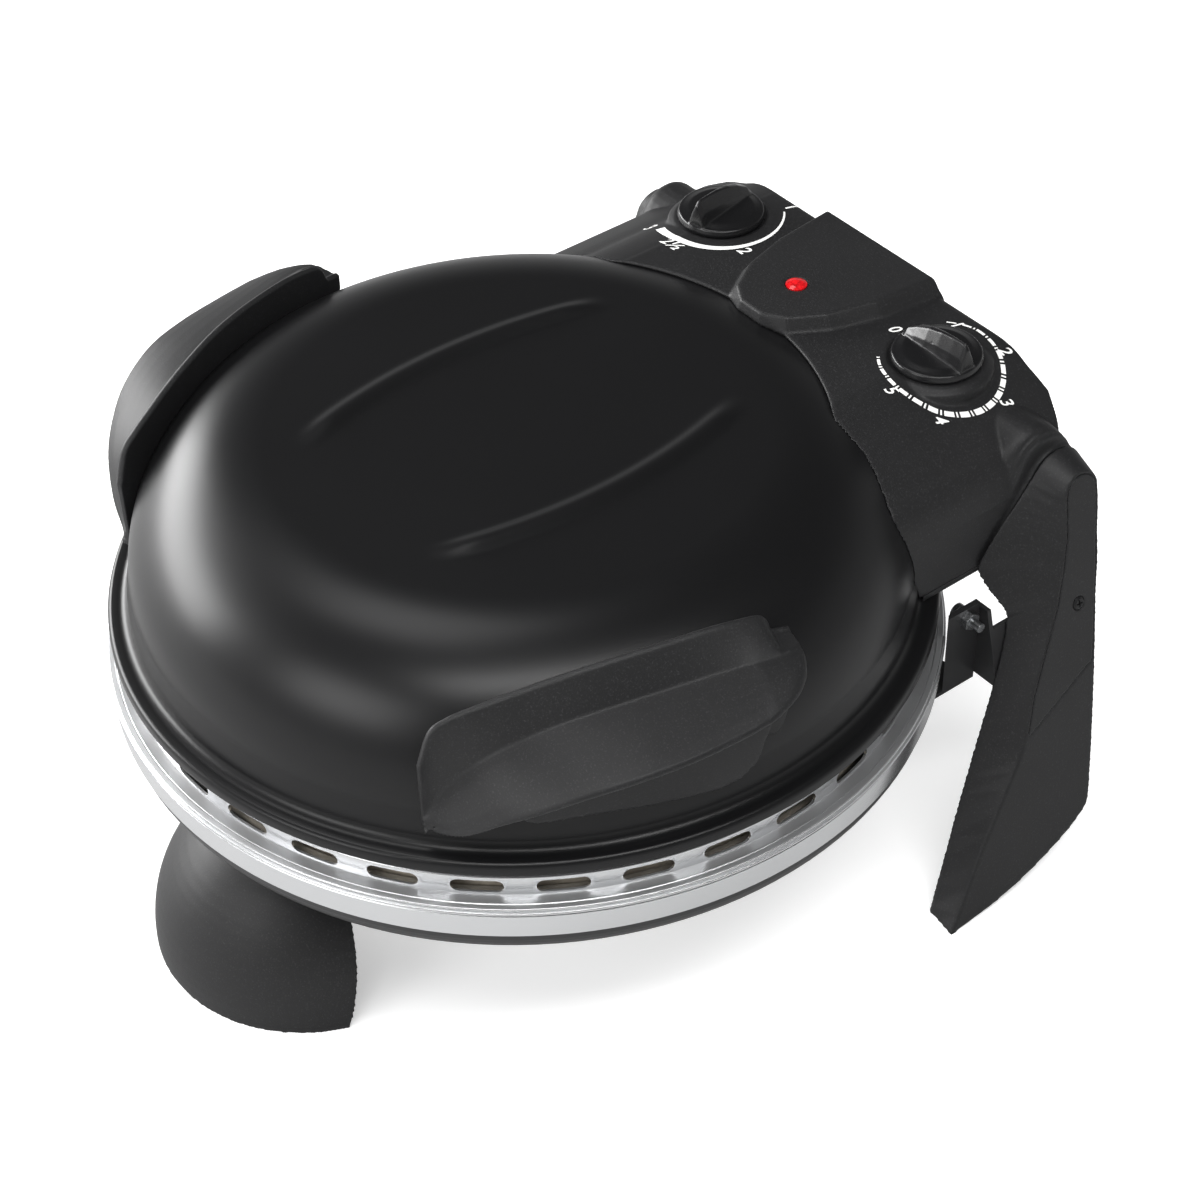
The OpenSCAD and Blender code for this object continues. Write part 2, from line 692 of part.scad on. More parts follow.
// Stations along the handle from front to back. Each row holds the place along
// the handle, then [outward, height] of the lip's top edge, of the hollow
// between lip and ledge, and of the ledge's outer edge, then the lowest height.
handle_rows = [
    [-84, [136, 168], [136.8, 141.5], [138, 141], 139.5],
    [-79, [135.4, 182], [137.5, 149], [143.5, 140.2], 138.5],
    [-72, [135.4, 186.5], [140, 160], [153.5, 146.5], 140],
    [-62, [136.3, 189.5], [144, 170.5], [163, 157], 144],
    [-50, [137.6, 192.6], [147, 177.5], [170, 164.6], 149],
    [-35, [138.8, 195.8], [148.5, 182], [175.4, 171.6], 153],
    [-15, [139.9, 198.8], [149, 184.4], [178.6, 176.4], 156],
    [5, [139.6, 200], [149, 186], [177.6, 178.1], 156],
    [25, [138, 200], [149, 187.4], [173.8, 179.2], 155],
    [36, [136.8, 199], [149, 188], [170.9, 180], 153],
    [40, [136.2, 198.4], [149, 188.2], [169.4, 180.6], 153],
    [44, [135.6, 197.6], [148.8, 188], [167.2, 181.2], 152],
    [47, [135.2, 196.2], [148.6, 187.8], [165.4, 181.7], 151],
    [49, [135, 193.4], [148.4, 187.7], [164, 182], 152],
    [50, [134.9, 190.2], [148.3, 187.6], [163.2, 182.2], 154],
    [51, [134.8, 188.6], [148.1, 187.5], [162.3, 182.4], 157],
    [53, [134.7, 188], [147.6, 187.3], [160.2, 182.8], 164],
    [56, [134.5, 187.6], [146.2, 187], [156, 183.6], 174],
    [58, [134.4, 187.2], [144.4, 186.7], [150.6, 184.6], 180]];

lip_t = 3;
// A closed cross-section at one station, in [outward, height]
function handle_section(r) =
    let (lip = r[1], dip = r[2], edge = r[3], low = r[4])
    [[lip[0] - lip_t / 2, lip[1] - 1], [lip[0], lip[1]], [lip[0] + lip_t / 2, lip[1] - 1],
     [dip[0] - 0.6, dip[1] + 1.2], [dip[0] + 0.6, dip[1]], mix(dip, edge, 0.55) + [0, 1],
     edge + [-1, 0.3], edge + [0, -1], edge + [-0.8, -2.8], [dip[0] + 3, dip[1] - 4.5],
     [dip[0] + 1.5, min(low, dip[1] - 6)],
     [lip[0] - lip_t / 2, min(low, dip[1] - 6)]];

module handle_shell() {
    rows = all_rows(handle_rows, 3);
    skin([for (r = rows) [for (p = handle_section(r)) [p[0], r[0], p[1]]]]);
}

module right_handle() {
    color(plastic) difference() {
        handle_frame() handle_shell();
        dome_solid(0);
        at_handle_screws() translate([0, 0, -2]) cylinder(d = 4, h = 12, $fn = small_fn);
    }
}

module left_handle() {
    mirror([1, 0, 0]) right_handle();
}

// The screws come from inside the dome, square to its shoulder
handle_screw_a = 22;
module at_handle_screws() {
    handle_frame() for (u = handle_screw_u)
        translate([0, u, 0]) handle_screw_place(u) children();
}
module handle_screw_place(u) {
    turn = atan2(u, 143);
    translate([0, -u, 0]) rotate(turn) translate([shoulder_c[0], 0, shoulder_c[1]])
        rotate([0, 90 - handle_screw_a, 0]) translate([0, 0, shoulder_r]) children();
}

module handle_screws() {
    color(steel) both_sides() at_handle_screws() translate([0, 0, -dome_t - 0.25]) rotate([180, 0, 0]) screw(4, 7);
}

pad_in = 140;
pad_out = 160.5;
pad_outline = [
    [-53, 172], [-53, 151.5], [-48, 148.6], [-38, 147], [-25, 145.4], [-8, 142.6], [8, 141.2],
    [22, 141.4], [30, 144], [36, 150], [40, 163], [43, 172.5], [43, 180], [-53, 180]];
module right_handle_pad() {
    color(plastic) difference() {
        handle_frame() translate([pad_in, 0, 0]) rotate([90, 0, 90]) linear_extrude(pad_out - pad_in)
            polygon(pad_outline);
        dome_solid(0);
        at_handle_screws() translate([0, 0, -2]) cylinder(d = 4, h = 12, $fn = small_fn);
        handle_frame() handle_under();
    }
}

// The space above the handle's underside, which the pad stays below
module handle_under() {
    rows = all_rows(handle_rows, 3);
    skin([for (r = rows) let (s = handle_section(r))
        [for (p = [s[11] + [0, 60], s[8] + [0, 60], s[8], s[9], s[10], s[11]]) [p[0], r[0], p[1]]]]);
}

module left_handle_pad() {
    mirror([1, 0, 0]) right_handle_pad();
}

// ---- control housing -----------------------------------------------------

housing_low_z = 131;
housing_front_r = 123;
housing_side_x = 119.4;
// Front view of the housing's top: [distance from the middle, height below the top]
roll = [[0, 0], [58, 0], [66, 0.5], [72, 1.6], [78, 3.3], [83, 5.3], [87.5, 7.6], [95, 10.6],
        [104, 15], [110, 18.4], [114.4, 23], [117.4, 29], [housing_side_x, 37]];
function front_outline(inset) =
    let (side = [for (p = smooth_path(roll, 3)) [p[0] - (p[0] > 60 ? inset : 0), housing_top_z - inset - p[1]]],
         low = [housing_side_x - inset, housing_low_z])
    concat([for (i = [len(side) - 1:-1:1]) [-side[i][0], side[i][1]]], side, [low, [-low[0], low[1]]]);
function side_outline(inset) =
    let (b = housing_back_y - inset, t = housing_top_z - inset + eps)
    concat([[60, housing_low_z], [b - 1, housing_low_z], [b, housing_low_z + 20]],
           arc([b - 5, t - 5], 5, 0, 90, 5), [[60, t]]);
function plan_outline(inset) =
    let (b = housing_back_y - inset, e = housing_side_x - inset)
    concat([[-e, 88], [e, 88], [e, b - 16]], arc([e - 14, b - 18], 14, 20, 62, 4),
           [[100, b], [-100, b]], [for (p = arc([e - 14, b - 18], 14, 62, 20, 4)) [-p[0], p[1]]],
           [[-e, b - 16]]);

module housing_block(inset) {
    intersection() {
        translate([0, 220, 0]) rotate([90, 0, 0]) linear_extrude(200) polygon(front_outline(inset));
        translate([-150, 0, 0]) rotate([90, 0, 90]) linear_extrude(300) polygon(side_outline(inset));
        linear_extrude(260) polygon(plan_outline(inset));
    }
}

// The round end that reaches out to the leg
boss_r = 15.4;
boss_centre = [167.5, 168.5];
// The boss's outline, from its ridge at t = 0 to the end face at t = 1
function boss_outline(t, inset) =
    let (c = mix(boss_centre, [pivot_y, pivot_z], t), r = mix(boss_r, hub_r - 0.3, t) - inset)
    concat([[mix(141.6, 137.5, t) + inset, housing_low_z], [mix(149.9, 149, t) + inset, mix(155, 148, t)]],
           arc(c, r, 168 - 12 * t, 0, 14), [[c[0] + r, 150], [c[0] + r - 3, housing_low_z]]);
module boss_slice(x, l, t, inset) {
    translate([x, 0, 0]) rotate([90, 0, 90]) linear_extrude(l) polygon(boss_outline(t, inset));
}
boss_round_x = 112;
boss_steps = 6;
module round_end() {
    step = (housing_end_x - boss_round_x) / boss_steps;
    for (i = [0:boss_steps])
        boss_slice(96, boss_round_x + i * step - 96, 1 - sqrt(1 - pow(i / boss_steps, 2)), 0);
}

centre_low_z = 193;
module centre_panel() {
    hull() {
        translate([0, 0, centre_top_z - 0.5]) linear_extrude(0.5) polygon([
            [-32.7, housing_back_y - 1], [-29.7, 160], [-23.6, 138], [-15, 124], [-6, 118.4],
            [6, 118.4], [15, 124], [23.6, 138], [29.7, 160], [32.7, housing_back_y - 1]]);
        translate([0, 0, centre_low_z]) linear_extrude(0.5) polygon([
            [-38.8, housing_back_y], [-36, 160], [-29, 138], [-19.5, 122.6], [-8, 116.8],
            [8, 116.8], [19.5, 122.6], [29, 138], [36, 160], [38.8, housing_back_y]]);
    }
    translate([0, 0, 172]) linear_extrude(centre_low_z - 172 + 0.2) polygon([
        [-38.8, housing_back_y - 1], [-36, 160], [-29, 138], [-19.5, 122.6], [-8, 116.8],
        [8, 116.8], [19.5, 122.6], [29, 138], [36, 160], [38.8, housing_back_y - 1]]);
}

plinth_top_z = 194.3;
module knob_plinth() {
    translate([0, 0, 186]) cylinder(r = 23.2, h = 6.2, $fn = 96);
    translate([0, 0, 192.2]) cylinder(r1 = 23.2, r2 = 20, h = plinth_top_z - 192.2, $fn = 96);
}

housing_post_at = [[104, 132], [60, 181]];
post_r = 5;
gland_z = 150;
gland_x = -70;
gland_bore_d = 14;

module control_housing() {
    color(plastic) difference() {
        union() {
            difference() {
                union() {
                    difference() {
                        housing_block(0);
                        cylinder(r = housing_front_r, h = 250, $fn = round_fn);
                    }
                    both_sides() round_end();
                    centre_panel();
                    both_sides() translate([knob_x, knob_y, 0]) knob_plinth();
                }
                difference() {
                    housing_block(wall_t);
                    both_sides() translate([knob_x, knob_y, housing_top_z - 12])
                        cylinder(r = 21, h = 20, $fn = 96);
                }
                both_sides() boss_slice(90, housing_end_x - end_wall_t - 90, 0.3, wall_t + 2);
                translate([0, 0, 172]) linear_extrude(centre_top_z - wall_t - 172) polygon([
                    [-28, housing_back_y - 4], [-26, 160], [-20, 138], [-9, 124], [9, 124], [20, 138], [26, 160],
                    [28, housing_back_y - 4]]);
            }
            intersection() {
                housing_block(0.5);
                for (s = [-1, 1]) for (p = housing_post_at) translate([s * p[0], p[1], housing_low_z])
                    cylinder(r = post_r, h = 70, $fn = small_fn);
            }
        }
        dome_solid(0);
        for (s = [-1, 1]) {
            translate([s * knob_x, knob_y, plinth_top_z]) cylinder(r = knob_r + 1, h = 10, $fn = 96);
            translate([s * knob_x, knob_y, 170]) cylinder(d = shaft_d + 4, h = 60, $fn = small_fn);
            translate([s * knob_x, knob_y, 160]) cylinder(r = 17, h = plinth_top_z - wall_t - 160, $fn = 96);
            for (p = housing_post_at) translate([s * p[0], p[1], housing_low_z - 1])
                cylinder(d = 3.4, h = 16, $fn = small_fn);
        }
        both_sides() translate([90, pivot_y, pivot_z]) rotate([0, 90, 0]) {
            cylinder(d = bush_d, h = 60, $fn = small_fn);
            cylinder(d = bush_flange_d + 0.6, h = housing_end_x - end_wall_t - 90, $fn = small_fn);
        }
        translate([0, lamp_y, 180]) cylinder(d = lens_d, h = 40, $fn = small_fn);
        translate([gland_x, housing_back_y + 5, gland_z]) rotate([90, 0, 0])
            cylinder(d = gland_bore_d, h = 20, $fn = small_fn);
    }
}

base_t = 2.4;
module housing_base() {
    color(plastic) difference() {
        translate([0, 0, housing_low_z - base_t]) linear_extrude(base_t) polygon(concat(
            [[-housing_side_x, 108], [housing_side_x, 108], [housing_side_x, 141.6], [120.4, 141.6], [120.4, 177]],
            [[116, 184], [110, 188], [100, housing_back_y - 1], [-100, housing_back_y - 1], [-110, 188], [-116, 184]],
            [[-120.4, 177], [-120.4, 141.6], [-housing_side_x, 141.6]]));
        translate([0, 0, 100]) cylinder(r = dome_r + 2.6, h = 60, $fn = round_fn);
        for (s = [-1, 1]) for (p = housing_post_at) translate([s * p[0], p[1], housing_low_z - base_t - 1])
            cylinder(d = 3.4, h = 10, $fn = small_fn);
    }
}

module housing_screws() {
    color(dark_sheet) for (s = [-1, 1]) for (p = housing_post_at)
        translate([s * p[0], p[1], housing_low_z - base_t]) rotate([180, 0, 0]) screw(3.2, 14);
}

// A steel carrier behind the dome that holds the housing to it
carrier_t = 2;
carrier_r = dome_r + 2.5;
module lid_carrier() {
    color(steel) difference() {
        translate([0, 0, housing_low_z]) rotate_extrude($fn = round_fn)
            translate([carrier_r, 0]) square([carrier_t, 28]);
        translate([-200, -200, 0]) cube([400, 200 + 145, 300]);
        dome_solid(0);
        both_sides() at_carrier_screws() translate([0, 0, -4]) cylinder(d = 4, h = 20, $fn = small_fn);
    }
    color(steel) difference() {
        translate([-60, 140, housing_low_z]) cube([120, housing_back_y - 144, 1.5]);
        translate([0, 0, 100]) cylinder(r = dome_r + 2.6, h = 60, $fn = round_fn);
        for (s = [-1, 1]) translate([s * 60, 181, 120]) cylinder(r = 12, h = 40, $fn = small_fn);
    }
}

module at_carrier_screws() {
    rotate(-carrier_turn) translate([0, carrier_r + carrier_t, carrier_z]) rotate([-90, 0, 0]) children();
}

module carrier_screws() {
    color(steel) both_sides() at_carrier_screws() screw(4, 10);
}

// ---- parts in the housing --------------------------------------------------

module lamp_lens() {
    color("#c01818") {
        translate([0, lamp_y, centre_top_z - wall_t]) cylinder(d = lens_d - 0.1, h = wall_t, $fn = small_fn);
        translate([0, lamp_y, centre_top_z]) intersection() {
            translate([0, 0, -7.2]) sphere(r = 8.5, $fn = 64);
            cylinder(d = lens_d - 0.1, h = 2, $fn = small_fn);
        }
    }
}

module lamp_body() {
    color("#d8d4c8") translate([0, lamp_y, 185]) cylinder(d = 7.5, h = centre_top_z - wall_t - 185, $fn = small_fn);
}

control_top_z = plinth_top_z - wall_t;
module shaft_bore(h) {
    cylinder(d = shaft_d + 2 * run_gap, h = h, $fn = small_fn);
}

thermostat_h = 24;
module thermostat() {
    color("#cfc7b4") translate([-knob_x, knob_y, 0]) difference() {
        union() {
            translate([0, 0, control_top_z - thermostat_h]) cylinder(r = 15.5, h = thermostat_h - 3, $fn = 96);
            translate([-9, -11, control_top_z - 3]) cube([18, 22, 3]);
            translate([0, 0, control_top_z - 1]) cylinder(d = shaft_d + 3.6, h = wall_t + 1, $fn = small_fn);
        }
        translate([0, 0, control_top_z - 14]) shaft_bore(40);
    }
}

timer_h = 27;
module timer() {
    color("#d9d9d6") translate([knob_x, knob_y, 0]) difference() {
        union() {
            intersection() {
                translate([-14, -14, control_top_z - timer_h]) cube([28, 28, timer_h - 3]);
                translate([0, 0, control_top_z - timer_h]) cylinder(r = 16.6, h = timer_h, $fn = 96);
            }
            translate([-9, -11, control_top_z - 3]) cube([18, 22, 3]);
            translate([0, 0, control_top_z - 1]) cylinder(d = shaft_d + 3.6, h = wall_t + 1, $fn = small_fn);
        }
        translate([0, 0, control_top_z - 14]) shaft_bore(40);
    }
}

module terminal_block() {
    color("#e4e0d4") difference() {
        translate([-24, 168, housing_low_z + 1.5]) cube([48, 14, 16]);
        for (i = [-2:2]) translate([i * 9, 175, housing_low_z + 10]) cylinder(d = 5, h = 10, $fn = small_fn);
    }
}

module cord_gland() {
    color(plastic) translate([gland_x, housing_back_y, gland_z]) rotate([-90, 0, 0]) difference() {
        union() {
            translate([0, 0, -8]) cylinder(d = gland_bore_d, h = 9, $fn = small_fn);
            cylinder(d = 19, h = 3, $fn = small_fn);
            translate([0, 0, 3]) cylinder(d1 = 15, d2 = 11, h = 6, $fn = small_fn);
        }
        translate([0, 0, -10]) cylinder(d = 7, h = 30, $fn = small_fn);
    }
}

// ---- knobs -----------------------------------------------------------------

knob_low_z = plinth_top_z + lip_gap;
knob_rim_z = knob_low_z + 3.4;
grip_top_z = knob_rim_z + 11.5;
socket_h = 9;
module knob(pointer) {
    difference() {
        union() {
            translate([0, 0, knob_low_z])
                cylinder(r1 = knob_r, r2 = knob_r - 1.2, h = knob_rim_z - knob_low_z, $fn = 96);
            translate([0, 0, knob_rim_z]) cylinder(r1 = knob_r - 1.4, r2 = knob_r - 5.5, h = 1.6, $fn = 96);
            rotate(pointer) hull() {
                translate([-4.6, -knob_r + 1.6, knob_rim_z]) cube([9.2, 2 * knob_r - 4.2, 0.4]);
                translate([-1.6, -10, grip_top_z - 0.5]) cube([3.2, 19, 0.5]);
            }
        }
        translate([0, 0, knob_low_z - 1]) difference() {
            cylinder(r = knob_r - 3, h = 3, $fn = 96);
            cylinder(r = 5, h = 3, $fn = small_fn);
        }
        translate([0, 0, knob_low_z - 1]) cylinder(d = shaft_d, h = socket_h + 1, $fn = small_fn);
    }
}

module shaft() {
    low_z = control_top_z - 13.8;
    translate([0, 0, low_z]) cylinder(d = shaft_d, h = knob_low_z + socket_h - low_z, $fn = small_fn);
}

thermostat_pointer = 12;
timer_pointer = 90;
module thermostat_knob() {
    color(plastic) translate([-knob_x, knob_y, 0]) knob(thermostat_pointer);
}
module timer_knob() {
    color(plastic) translate([knob_x, knob_y, 0]) knob(timer_pointer);
}
module thermostat_shaft() {
    color(steel) translate([-knob_x, knob_y, 0]) shaft();
}
module timer_shaft() {
    color(steel) translate([knob_x, knob_y, 0]) shaft();
}

// ---- all nodes -------------------------------------------------------------

base_pan();
vent_ring();
lower_reflector();
lower_heater();
lower_heater_clips();
baking_stone();
terminal_cover();
front_foot();
foot_screws();
left_leg();
right_leg();
left_leg_cover();
right_leg_cover();
leg_cover_screws();
left_pan_bracket();
right_pan_bracket();
left_leg_angle();
right_leg_angle();
bracket_bolts();
bracket_screws();
left_pivot_pin();
right_pivot_pin();
lid_dome();
lid_liner();
upper_heater();
upper_heater_clips();
liner_screws();
left_handle();
right_handle();
left_handle_pad();
right_handle_pad();
handle_screws();
control_housing();
housing_base();
housing_screws();
lid_carrier();
carrier_screws();
left_pivot_bush();
right_pivot_bush();
lamp_lens();
lamp_body();
thermostat();
timer();
terminal_block();
cord_gland();
thermostat_knob();
thermostat_shaft();
timer_knob();
timer_shaft();
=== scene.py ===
import json
import math
import bmesh
import bpy
from mathutils import Matrix, Vector
from mathutils.bvhtree import BVHTree


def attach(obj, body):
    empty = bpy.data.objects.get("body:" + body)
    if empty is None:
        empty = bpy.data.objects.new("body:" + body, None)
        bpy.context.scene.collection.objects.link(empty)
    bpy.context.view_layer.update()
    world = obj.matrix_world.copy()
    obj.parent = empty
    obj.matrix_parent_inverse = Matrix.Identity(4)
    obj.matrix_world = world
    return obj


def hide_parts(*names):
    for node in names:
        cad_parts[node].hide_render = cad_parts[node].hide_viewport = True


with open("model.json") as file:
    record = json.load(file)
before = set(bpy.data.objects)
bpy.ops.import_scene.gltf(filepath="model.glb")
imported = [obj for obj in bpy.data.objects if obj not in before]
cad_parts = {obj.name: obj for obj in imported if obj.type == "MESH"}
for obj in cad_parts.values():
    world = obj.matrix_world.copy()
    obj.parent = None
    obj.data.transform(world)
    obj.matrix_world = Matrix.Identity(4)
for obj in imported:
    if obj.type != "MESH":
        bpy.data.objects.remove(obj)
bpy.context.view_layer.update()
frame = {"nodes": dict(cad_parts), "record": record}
nodes = frame["nodes"]
mm = 0.001
print("frame loaded:", len(nodes), "solids")


# colours and shader nodes

def linear(hexColour):
    # sRGB hex to the linear values that the sockets take
    parts = [int(hexColour[i:i + 2], 16) / 255 for i in (1, 3, 5)]
    return [c / 12.92 if c <= 0.04045 else ((c + 0.055) / 1.055) ** 2.4 for c in parts] + [1.0]


def addNode(tree, kind, inputs=None, **settings):
    node = tree.nodes.new(kind)
    for name, value in settings.items():
        setattr(node, name, value)
    for socket, value in (inputs or {}).items():
        if isinstance(value, bpy.types.NodeSocket):
            tree.links.new(value, node.inputs[socket])
        else:
            node.inputs[socket].default_value = value
    return node


def startMaterial(name):
    material = bpy.data.materials.new(name)
    material.use_nodes = True
    tree = material.node_tree
    tree.nodes.clear()
    place = addNode(tree, "ShaderNodeTexCoord").outputs["Object"]
    return material, tree, place


def closeMaterial(tree, **sockets):
    shader = addNode(tree, "ShaderNodeBsdfPrincipled", {k.replace("_", " "): v for k, v in sockets.items()})
    addNode(tree, "ShaderNodeOutputMaterial", {"Surface": shader.outputs["BSDF"]})


def perMetre(sizeMm):
    # the scale at which one cell of a texture is sizeMm wide
    return 1000 / sizeMm


def mouldedPlastic(name, look):
    # Injection-moulded polypropylene or ABS with a spark-eroded grain: the eye sees a dark
    # matte face with fine light grains, and edges painted a little brighter as a highlight. The
    # real grain is about 0.2 mm and wouldn't show, so it is drawn as coarse as the look says.
    material, tree, place = startMaterial(name)
    grain = addNode(tree, "ShaderNodeTexNoise", {"Vector": place, "Scale": perMetre(look["grainMm"]),
                                                 "Detail": 3.0, "Roughness": 0.6})
    cloud = addNode(tree, "ShaderNodeTexNoise", {"Vector": place, "Scale": perMetre(look["cloudMm"]),
                                                 "Detail": 2.0})
    edge = addNode(tree, "ShaderNodeBevel", {"Radius": look["edgeMm"] * mm}, samples=4)
    flat = addNode(tree, "ShaderNodeNewGeometry").outputs["Normal"]
    # painted highlight: where the bevelled normal turns away from the flat one, at the edges, the colour is
    # mixed towards the pale one
    turned = addNode(tree, "ShaderNodeVectorMath", {0: edge.outputs[0], 1: flat}, operation="DOT_PRODUCT")
    paintedEdgeHighlight = addNode(tree, "ShaderNodeMapRange", {"Value": turned.outputs["Value"], "From Min": 0.999,
                                                  "From Max": 0.86, "To Min": 0.0, "To Max": look["edgeHighlightStrength"]})
    base = addNode(tree, "ShaderNodeMixRGB", {"Fac": cloud.outputs["Fac"], "Color1": linear(look["colour"]),
                                              "Color2": linear(look["cloud"])})
    paintedHighlightAndFleck = addNode(tree, "ShaderNodeMixRGB", {"Fac": paintedEdgeHighlight.outputs[0], "Color1": base.outputs[0],
                                              "Color2": linear(look["paintedHighlightAndFleck"])})
    fleck = addNode(tree, "ShaderNodeMapRange", {"Value": grain.outputs["Fac"], "From Min": 0.56,
                                                 "From Max": 0.72, "To Min": 0.0, "To Max": look["fleck"]})
    grained = addNode(tree, "ShaderNodeMixRGB", {"Fac": fleck.outputs[0], "Color1": paintedHighlightAndFleck.outputs[0],
                                                 "Color2": linear(look["paintedHighlightAndFleck"])})
    rough = addNode(tree, "ShaderNodeMapRange", {"Value": grain.outputs["Fac"], "To Min": look["rough"] - 0.07,
                                                 "To Max": look["rough"] + 0.07})
    bump = addNode(tree, "ShaderNodeBump", {"Height": grain.outputs["Fac"], "Strength": look["bump"],
                                            "Distance": look["bumpMm"] * mm, "Normal": edge.outputs[0]})
    closeMaterial(tree, Base_Color=grained.outputs[0], Roughness=rough.outputs[0], Normal=bump.outputs[0],
                  IOR=1.5, Specular_IOR_Level=look["specular"])
    return material


def sheetMetal(name, look):
    # Rolled steel sheet or rod, bright or coated: the eye sees fine lines from rolling
    # and drawing, and a roughness that wanders. Real lines are under 0.1 mm, so they are
    # drawn coarser, as the look says.
    material, tree, place = startMaterial(name)
    drawn = addNode(tree, "ShaderNodeMapping", {"Vector": place, "Scale": look["stretch"]})
    lines = addNode(tree, "ShaderNodeTexNoise", {"Vector": drawn.outputs[0], "Scale": perMetre(look["lineMm"]),
                                                 "Detail": 4.0})
    patches = addNode(tree, "ShaderNodeTexNoise", {"Vector": place, "Scale": perMetre(look["patchMm"]),
                                                   "Detail": 3.0})
    colour = addNode(tree, "ShaderNodeMixRGB", {"Fac": patches.outputs["Fac"], "Color1": linear(look["colour"]),
                                                "Color2": linear(look["patch"])})
    rough = addNode(tree, "ShaderNodeMapRange", {"Value": lines.outputs["Fac"], "To Min": look["rough"] * 0.75,
                                                 "To Max": look["rough"] * 1.25})
    edge = addNode(tree, "ShaderNodeBevel", {"Radius": look["edgeMm"] * mm}, samples=4)
    bump = addNode(tree, "ShaderNodeBump", {"Height": lines.outputs["Fac"], "Strength": look["bump"],
                                            "Distance": look["bumpMm"] * mm, "Normal": edge.outputs[0]})
    closeMaterial(tree, Base_Color=colour.outputs[0], Metallic=look["metallic"], Roughness=rough.outputs[0],
                  Normal=bump.outputs[0])
    return material


def polishedSteel(look):
    # Polished stainless sheet: the eye sees a bright satin mirror on the upright band and
    # wall, and a duller brushed face where the press left the ledge flat.
    material, tree, place = startMaterial("polishedStainlessSteel")
    cloud = addNode(tree, "ShaderNodeTexNoise", {"Vector": place, "Scale": perMetre(look["cloudMm"]),
                                                 "Detail": 3.0})
    colour = addNode(tree, "ShaderNodeMixRGB", {"Fac": cloud.outputs["Fac"], "Color1": linear(look["colour"]),
                                                "Color2": linear(look["cloud"])})
    normal = addNode(tree, "ShaderNodeNewGeometry").outputs["Normal"]
    facing = addNode(tree, "ShaderNodeSeparateXYZ", {0: normal})
    rough = addNode(tree, "ShaderNodeMapRange", {"Value": facing.outputs["Z"], "From Min": 0.5,
                                                 "From Max": 0.95, "To Min": look["rough"],
                                                 "To Max": look["ledgeRough"]})
    fine = addNode(tree, "ShaderNodeTexNoise", {"Vector": place, "Scale": perMetre(look["scuffMm"]),
                                                "Detail": 2.0})
    bump = addNode(tree, "ShaderNodeBump", {"Height": fine.outputs["Fac"], "Strength": look["bump"],
                                            "Distance": look["bumpMm"] * mm})
    closeMaterial(tree, Base_Color=colour.outputs[0], Metallic=1.0, Roughness=rough.outputs[0],
                  Normal=bump.outputs[0])
    return material


def satinEnamel(look):
    # Stoved satin enamel on drawn steel: a deep black with broad soft highlights, a faint
    # orange peel from spraying, and dust-sized grains.
    material, tree, place = startMaterial("satinStovedEnamel")
    peel, grain, cloud = [
        addNode(tree, "ShaderNodeTexNoise", {"Vector": place, "Scale": perMetre(look[size]), "Detail": 2.0})
        for size in ("peelMm", "grainMm", "cloudMm")]
    colour = addNode(tree, "ShaderNodeMixRGB", {"Fac": cloud.outputs["Fac"], "Color1": linear(look["colour"]),
                                                "Color2": linear(look["cloud"])})
    rough = addNode(tree, "ShaderNodeMapRange", {"Value": grain.outputs["Fac"], "To Min": look["rough"] - 0.04,
                                                 "To Max": look["rough"] + 0.04})
    peelBump = addNode(tree, "ShaderNodeBump", {"Height": peel.outputs["Fac"], "Strength": 0.12,
                                                "Distance": 0.03 * mm})
    bump = addNode(tree, "ShaderNodeBump", {"Height": grain.outputs["Fac"], "Strength": 0.25,
                                            "Distance": 0.015 * mm, "Normal": peelBump.outputs[0]})
    closeMaterial(tree, Base_Color=colour.outputs[0], Roughness=rough.outputs[0], Normal=bump.outputs[0],
                  IOR=1.5, Specular_IOR_Level=look["specular"])
    return material


def firedClay(look):
    # Unglazed fired clay: a warm pale grey-brown with coarse grog and open pores.
    material, tree, place = startMaterial("unglazedFiredClay")
    grog = addNode(tree, "ShaderNodeTexVoronoi", {"Vector": place, "Scale": perMetre(look["grogMm"])})
    dust = addNode(tree, "ShaderNodeTexNoise", {"Vector": place, "Scale": perMetre(look["dustMm"]),
                                                "Detail": 6.0})
    mixed = addNode(tree, "ShaderNodeMixRGB", {"Fac": dust.outputs["Fac"], "Color1": linear(look["colour"]),
                                               "Color2": linear(look["cloud"])})
    speck = addNode(tree, "ShaderNodeMapRange", {"Value": grog.outputs["Distance"], "From Min": 0.0,
                                                 "From Max": 0.35, "To Min": 0.35, "To Max": 0.0})
    colour = addNode(tree, "ShaderNodeMixRGB", {"Fac": speck.outputs[0], "Color1": mixed.outputs[0],
                                                "Color2": linear(look["grog"])})
    bump = addNode(tree, "ShaderNodeBump", {"Height": dust.outputs["Fac"], "Strength": 0.5,
                                            "Distance": look["bumpMm"] * mm})
    closeMaterial(tree, Base_Color=colour.outputs[0], Roughness=look["rough"], Normal=bump.outputs[0])
    return material


def lensAcrylic(look):
    # Clear red acrylic with moulded prisms behind: glossy, deep red, lighter in the cells.
    material, tree, place = startMaterial("redLensAcrylic")
    cells = addNode(tree, "ShaderNodeTexVoronoi", {"Vector": place, "Scale": perMetre(look["cellMm"])})
    colour = addNode(tree, "ShaderNodeMixRGB", {
        "Fac": cells.outputs["Distance"], "Color1": linear(look["colour"]), "Color2": linear(look["cell"])})
    bump = addNode(tree, "ShaderNodeBump", {"Height": cells.outputs["Distance"], "Strength": 0.2,
                                            "Distance": look["bumpMm"] * mm})
    closeMaterial(tree, Base_Color=colour.outputs[0], Roughness=look["rough"], IOR=1.49, Normal=bump.outputs[0])
    return material


